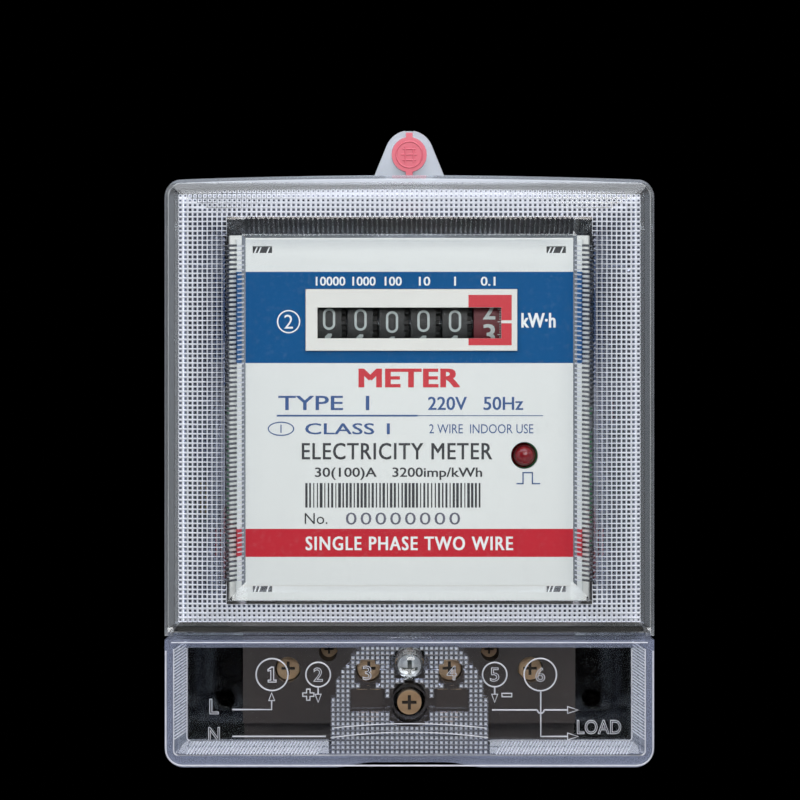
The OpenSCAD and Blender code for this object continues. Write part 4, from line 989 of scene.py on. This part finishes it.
def code_tree():
    tree, sizes = new_tree("bar code", Vector=["Start", "Step"], Int=["Count"],
                           Float=["Height", "Narrow", "Wide"])
    row = add(tree, "GeometryNodeMeshLine", None,
              {"Count": sizes["Count"], "Start Location": sizes["Start"], "Offset": sizes["Step"]})
    solid = add(tree, "GeometryNodeMeshCube", {"Size": (1, 1, 1)})
    chance = add(tree, "FunctionNodeRandomValue", {"Seed": 7}, {2: sizes["Narrow"], 3: sizes["Wide"]},
                 data_type="FLOAT")
    shape = add(tree, "ShaderNodeCombineXYZ", {1: 0.00003}, {0: chance.outputs[1], 2: sizes["Height"]})
    bars = add(tree, "GeometryNodeInstanceOnPoints", None,
               {"Points": row.outputs[0], "Instance": solid.outputs[0], "Scale": shape.outputs[0]})
    return close_tree(tree, bars.outputs[0], sizes["Finish"])


bars = grow(mesh_object("print_bar_code", [(0, 0, 0)], []), code_tree(),
            Start=place(-24.3, 63.4, PLATE_FRONT + 0.015), Step=Vector((0.00087, 0, 0)), Count=48,
            Height=0.0058, Narrow=0.00022, Wide=0.00068, Finish=BLACK_INK)
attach(bars, "case")
printed("print_number", [word("00000000", -1.5, 57.9, 2.9, 27.0, 1.2)], ink("grey dot matrix ink", "#5b5c6c"))

# %% [markdown]
# The red patch behind the tenths window is printed on the bezel. It has a hole
# for the window and a white pointer gap on its right, so it is four strips.

# %% Red patch on the bezel
PATCH_L, PATCH_R = 13.95, 24.15
OPEN_LOW, OPEN_TOP, OPEN_R = DIAL_Z - 3.65, DIAL_Z + 3.65, 21.7
patch = [bar(PATCH_L, PATCH_R, OPEN_TOP + 0.02, DIAL_Z + 6.6),
         bar(PATCH_L, PATCH_R, DIAL_Z - 5.3, OPEN_LOW - 0.02),
         bar(OPEN_R, PATCH_R, OPEN_LOW - 0.02, DIAL_Z - 0.1),
         bar(OPEN_R, PATCH_R, DIAL_Z + 0.6, OPEN_TOP + 0.02)]
printed("print_red_patch", patch, RED_INK, BEZEL_FRONT)

# %% [markdown]
# Figures are moulded round each drum, ten to a turn. They are first laid out flat
# on a strip as long as the drum's rim. A tree then cuts them finer and rolls the
# strip round the axis, so the figures bend with the surface as real ones do.

# %% Figures on the drums


def upright_oval(width, height, line, steps=10):
    """A nought with straight sides: two half circles joined by lines."""
    rings = []
    for r in (width / 2, width / 2 - line):
        arc = [math.pi * k / steps for k in range(steps + 1)]
        rise = height / 2 - width / 2
        rings.append([(r * math.cos(a), rise + r * math.sin(a)) for a in arc]
                     + [(-r * math.cos(a), -rise - r * math.sin(a)) for a in arc])
    n = len(rings[0])
    points = [(x, z, y) for y in (-LEAF, LEAF) for one in rings for x, z in one]
    faces = []
    for k in range(n):
        m = (k + 1) % n
        faces += [(k, n + k, n + m, m), (2 * n + k, 2 * n + m, 3 * n + m, 3 * n + k),
                  (k, m, 2 * n + m, 2 * n + k), (n + k, 3 * n + k, 3 * n + m, n + m)]
    return np.array(points), faces


def rolling_tree():
    tree, sizes = new_tree("roll round an axis", Float=["Radius", "Left", "Depth", "Axis Height", "Start Turn"])
    finer = add(tree, "GeometryNodeSubdivideMesh", {"Level": 1}, {0: sizes["Geometry"]})
    spot = add(tree, "GeometryNodeInputPosition").outputs[0]
    here = add(tree, "ShaderNodeSeparateXYZ", None, {0: spot}).outputs
    angle = add(tree, "ShaderNodeMath", None, {0: here[1], 1: sizes["Radius"]}, operation="DIVIDE").outputs[0]
    turn = add(tree, "ShaderNodeMath", None, {0: angle, 1: sizes["Start Turn"]}, operation="ADD").outputs[0]
    reach = add(tree, "ShaderNodeMath", None, {0: here[2], 1: sizes["Radius"]}, operation="ADD").outputs[0]
    sine = add(tree, "ShaderNodeMath", None, {0: turn}, operation="SINE").outputs[0]
    cosine = add(tree, "ShaderNodeMath", None, {0: turn}, operation="COSINE").outputs[0]
    up = add(tree, "ShaderNodeMath", None, {0: sine, 1: reach, 2: sizes["Axis Height"]},
             operation="MULTIPLY_ADD").outputs[0]
    out = add(tree, "ShaderNodeMath", None, {0: cosine, 1: reach, 2: sizes["Depth"]},
              operation="MULTIPLY_ADD").outputs[0]
    back = add(tree, "ShaderNodeMath", {1: -1.0}, {0: out}, operation="MULTIPLY").outputs[0]
    across = add(tree, "ShaderNodeMath", None, {0: here[0], 1: sizes["Left"]}, operation="ADD").outputs[0]
    spot = add(tree, "ShaderNodeCombineXYZ", None, {0: across, 1: back, 2: up}).outputs[0]
    bent = add(tree, "GeometryNodeSetPosition", None, {"Geometry": finer.outputs[0], "Position": spot})
    return close_tree(tree, bent.outputs[0], sizes["Finish"])


ROLL = rolling_tree()
FIGURE_INK = ink("white figure paint", "#b3bdbd")
RIM = (DRUM_TOP - DRUM_LOW) / 2
AXIS_DEPTH = (DRUM_BACK + DRUM_FRONT) / 2
PAINT = 0.06
# the figure one is drawn by its outline
ONE = slab([(0.65, 2.6), (-0.25, 2.6), (-1.0, 1.9), (-1.0, 1.2), (-0.05, 1.7), (-0.05, -2.6), (0.65, -2.6)])


def number_drum(name, x, start, look, scale=()):
    strip = [upright_oval(2.9, 5.2, 0.55), ONE]
    strip += [flat_letters(str(n), 4.9, 2.9, bold=0.25) for n in range(2, 10)]
    strip = [shift(shape, 0, -n * RIM * math.pi / 5) for n, shape in enumerate(strip)] + list(scale)
    points, faces = joined(strip)
    made = mesh_object("figures_" + name, [(px / 1000, pz / 1000, (0.5 + py / (2 * LEAF)) * PAINT / 1000)
                                           for px, pz, py in points], faces)
    grow(made, ROLL, Radius=RIM / 1000, Left=x / 1000, Depth=AXIS_DEPTH / 1000, **{
        "Axis Height": (DIAL_Z + FOOT) / 1000, "Start Turn": math.radians(start)}, Finish=look)
    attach(made, name)
    return made


for name, x, start in zip(DRUMS[:5], middle, [5.3, 4.2, 1.0, 2.4, 2.4]):
    number_drum(name, x - 0.48, start + 0.5, FIGURE_INK)
tick = RIM * math.pi / 50
ticks = [bar(2.0 if k % 5 == 0 else 2.4, 3.3, -k * tick - 0.11, -k * tick + 0.11) for k in range(100)]
last = number_drum(DRUMS[5], middle[5] - 0.7, 91.8, FIGURE_INK, ticks)
print("six drums,", len(last.data.polygons), "faces of figures on the last")
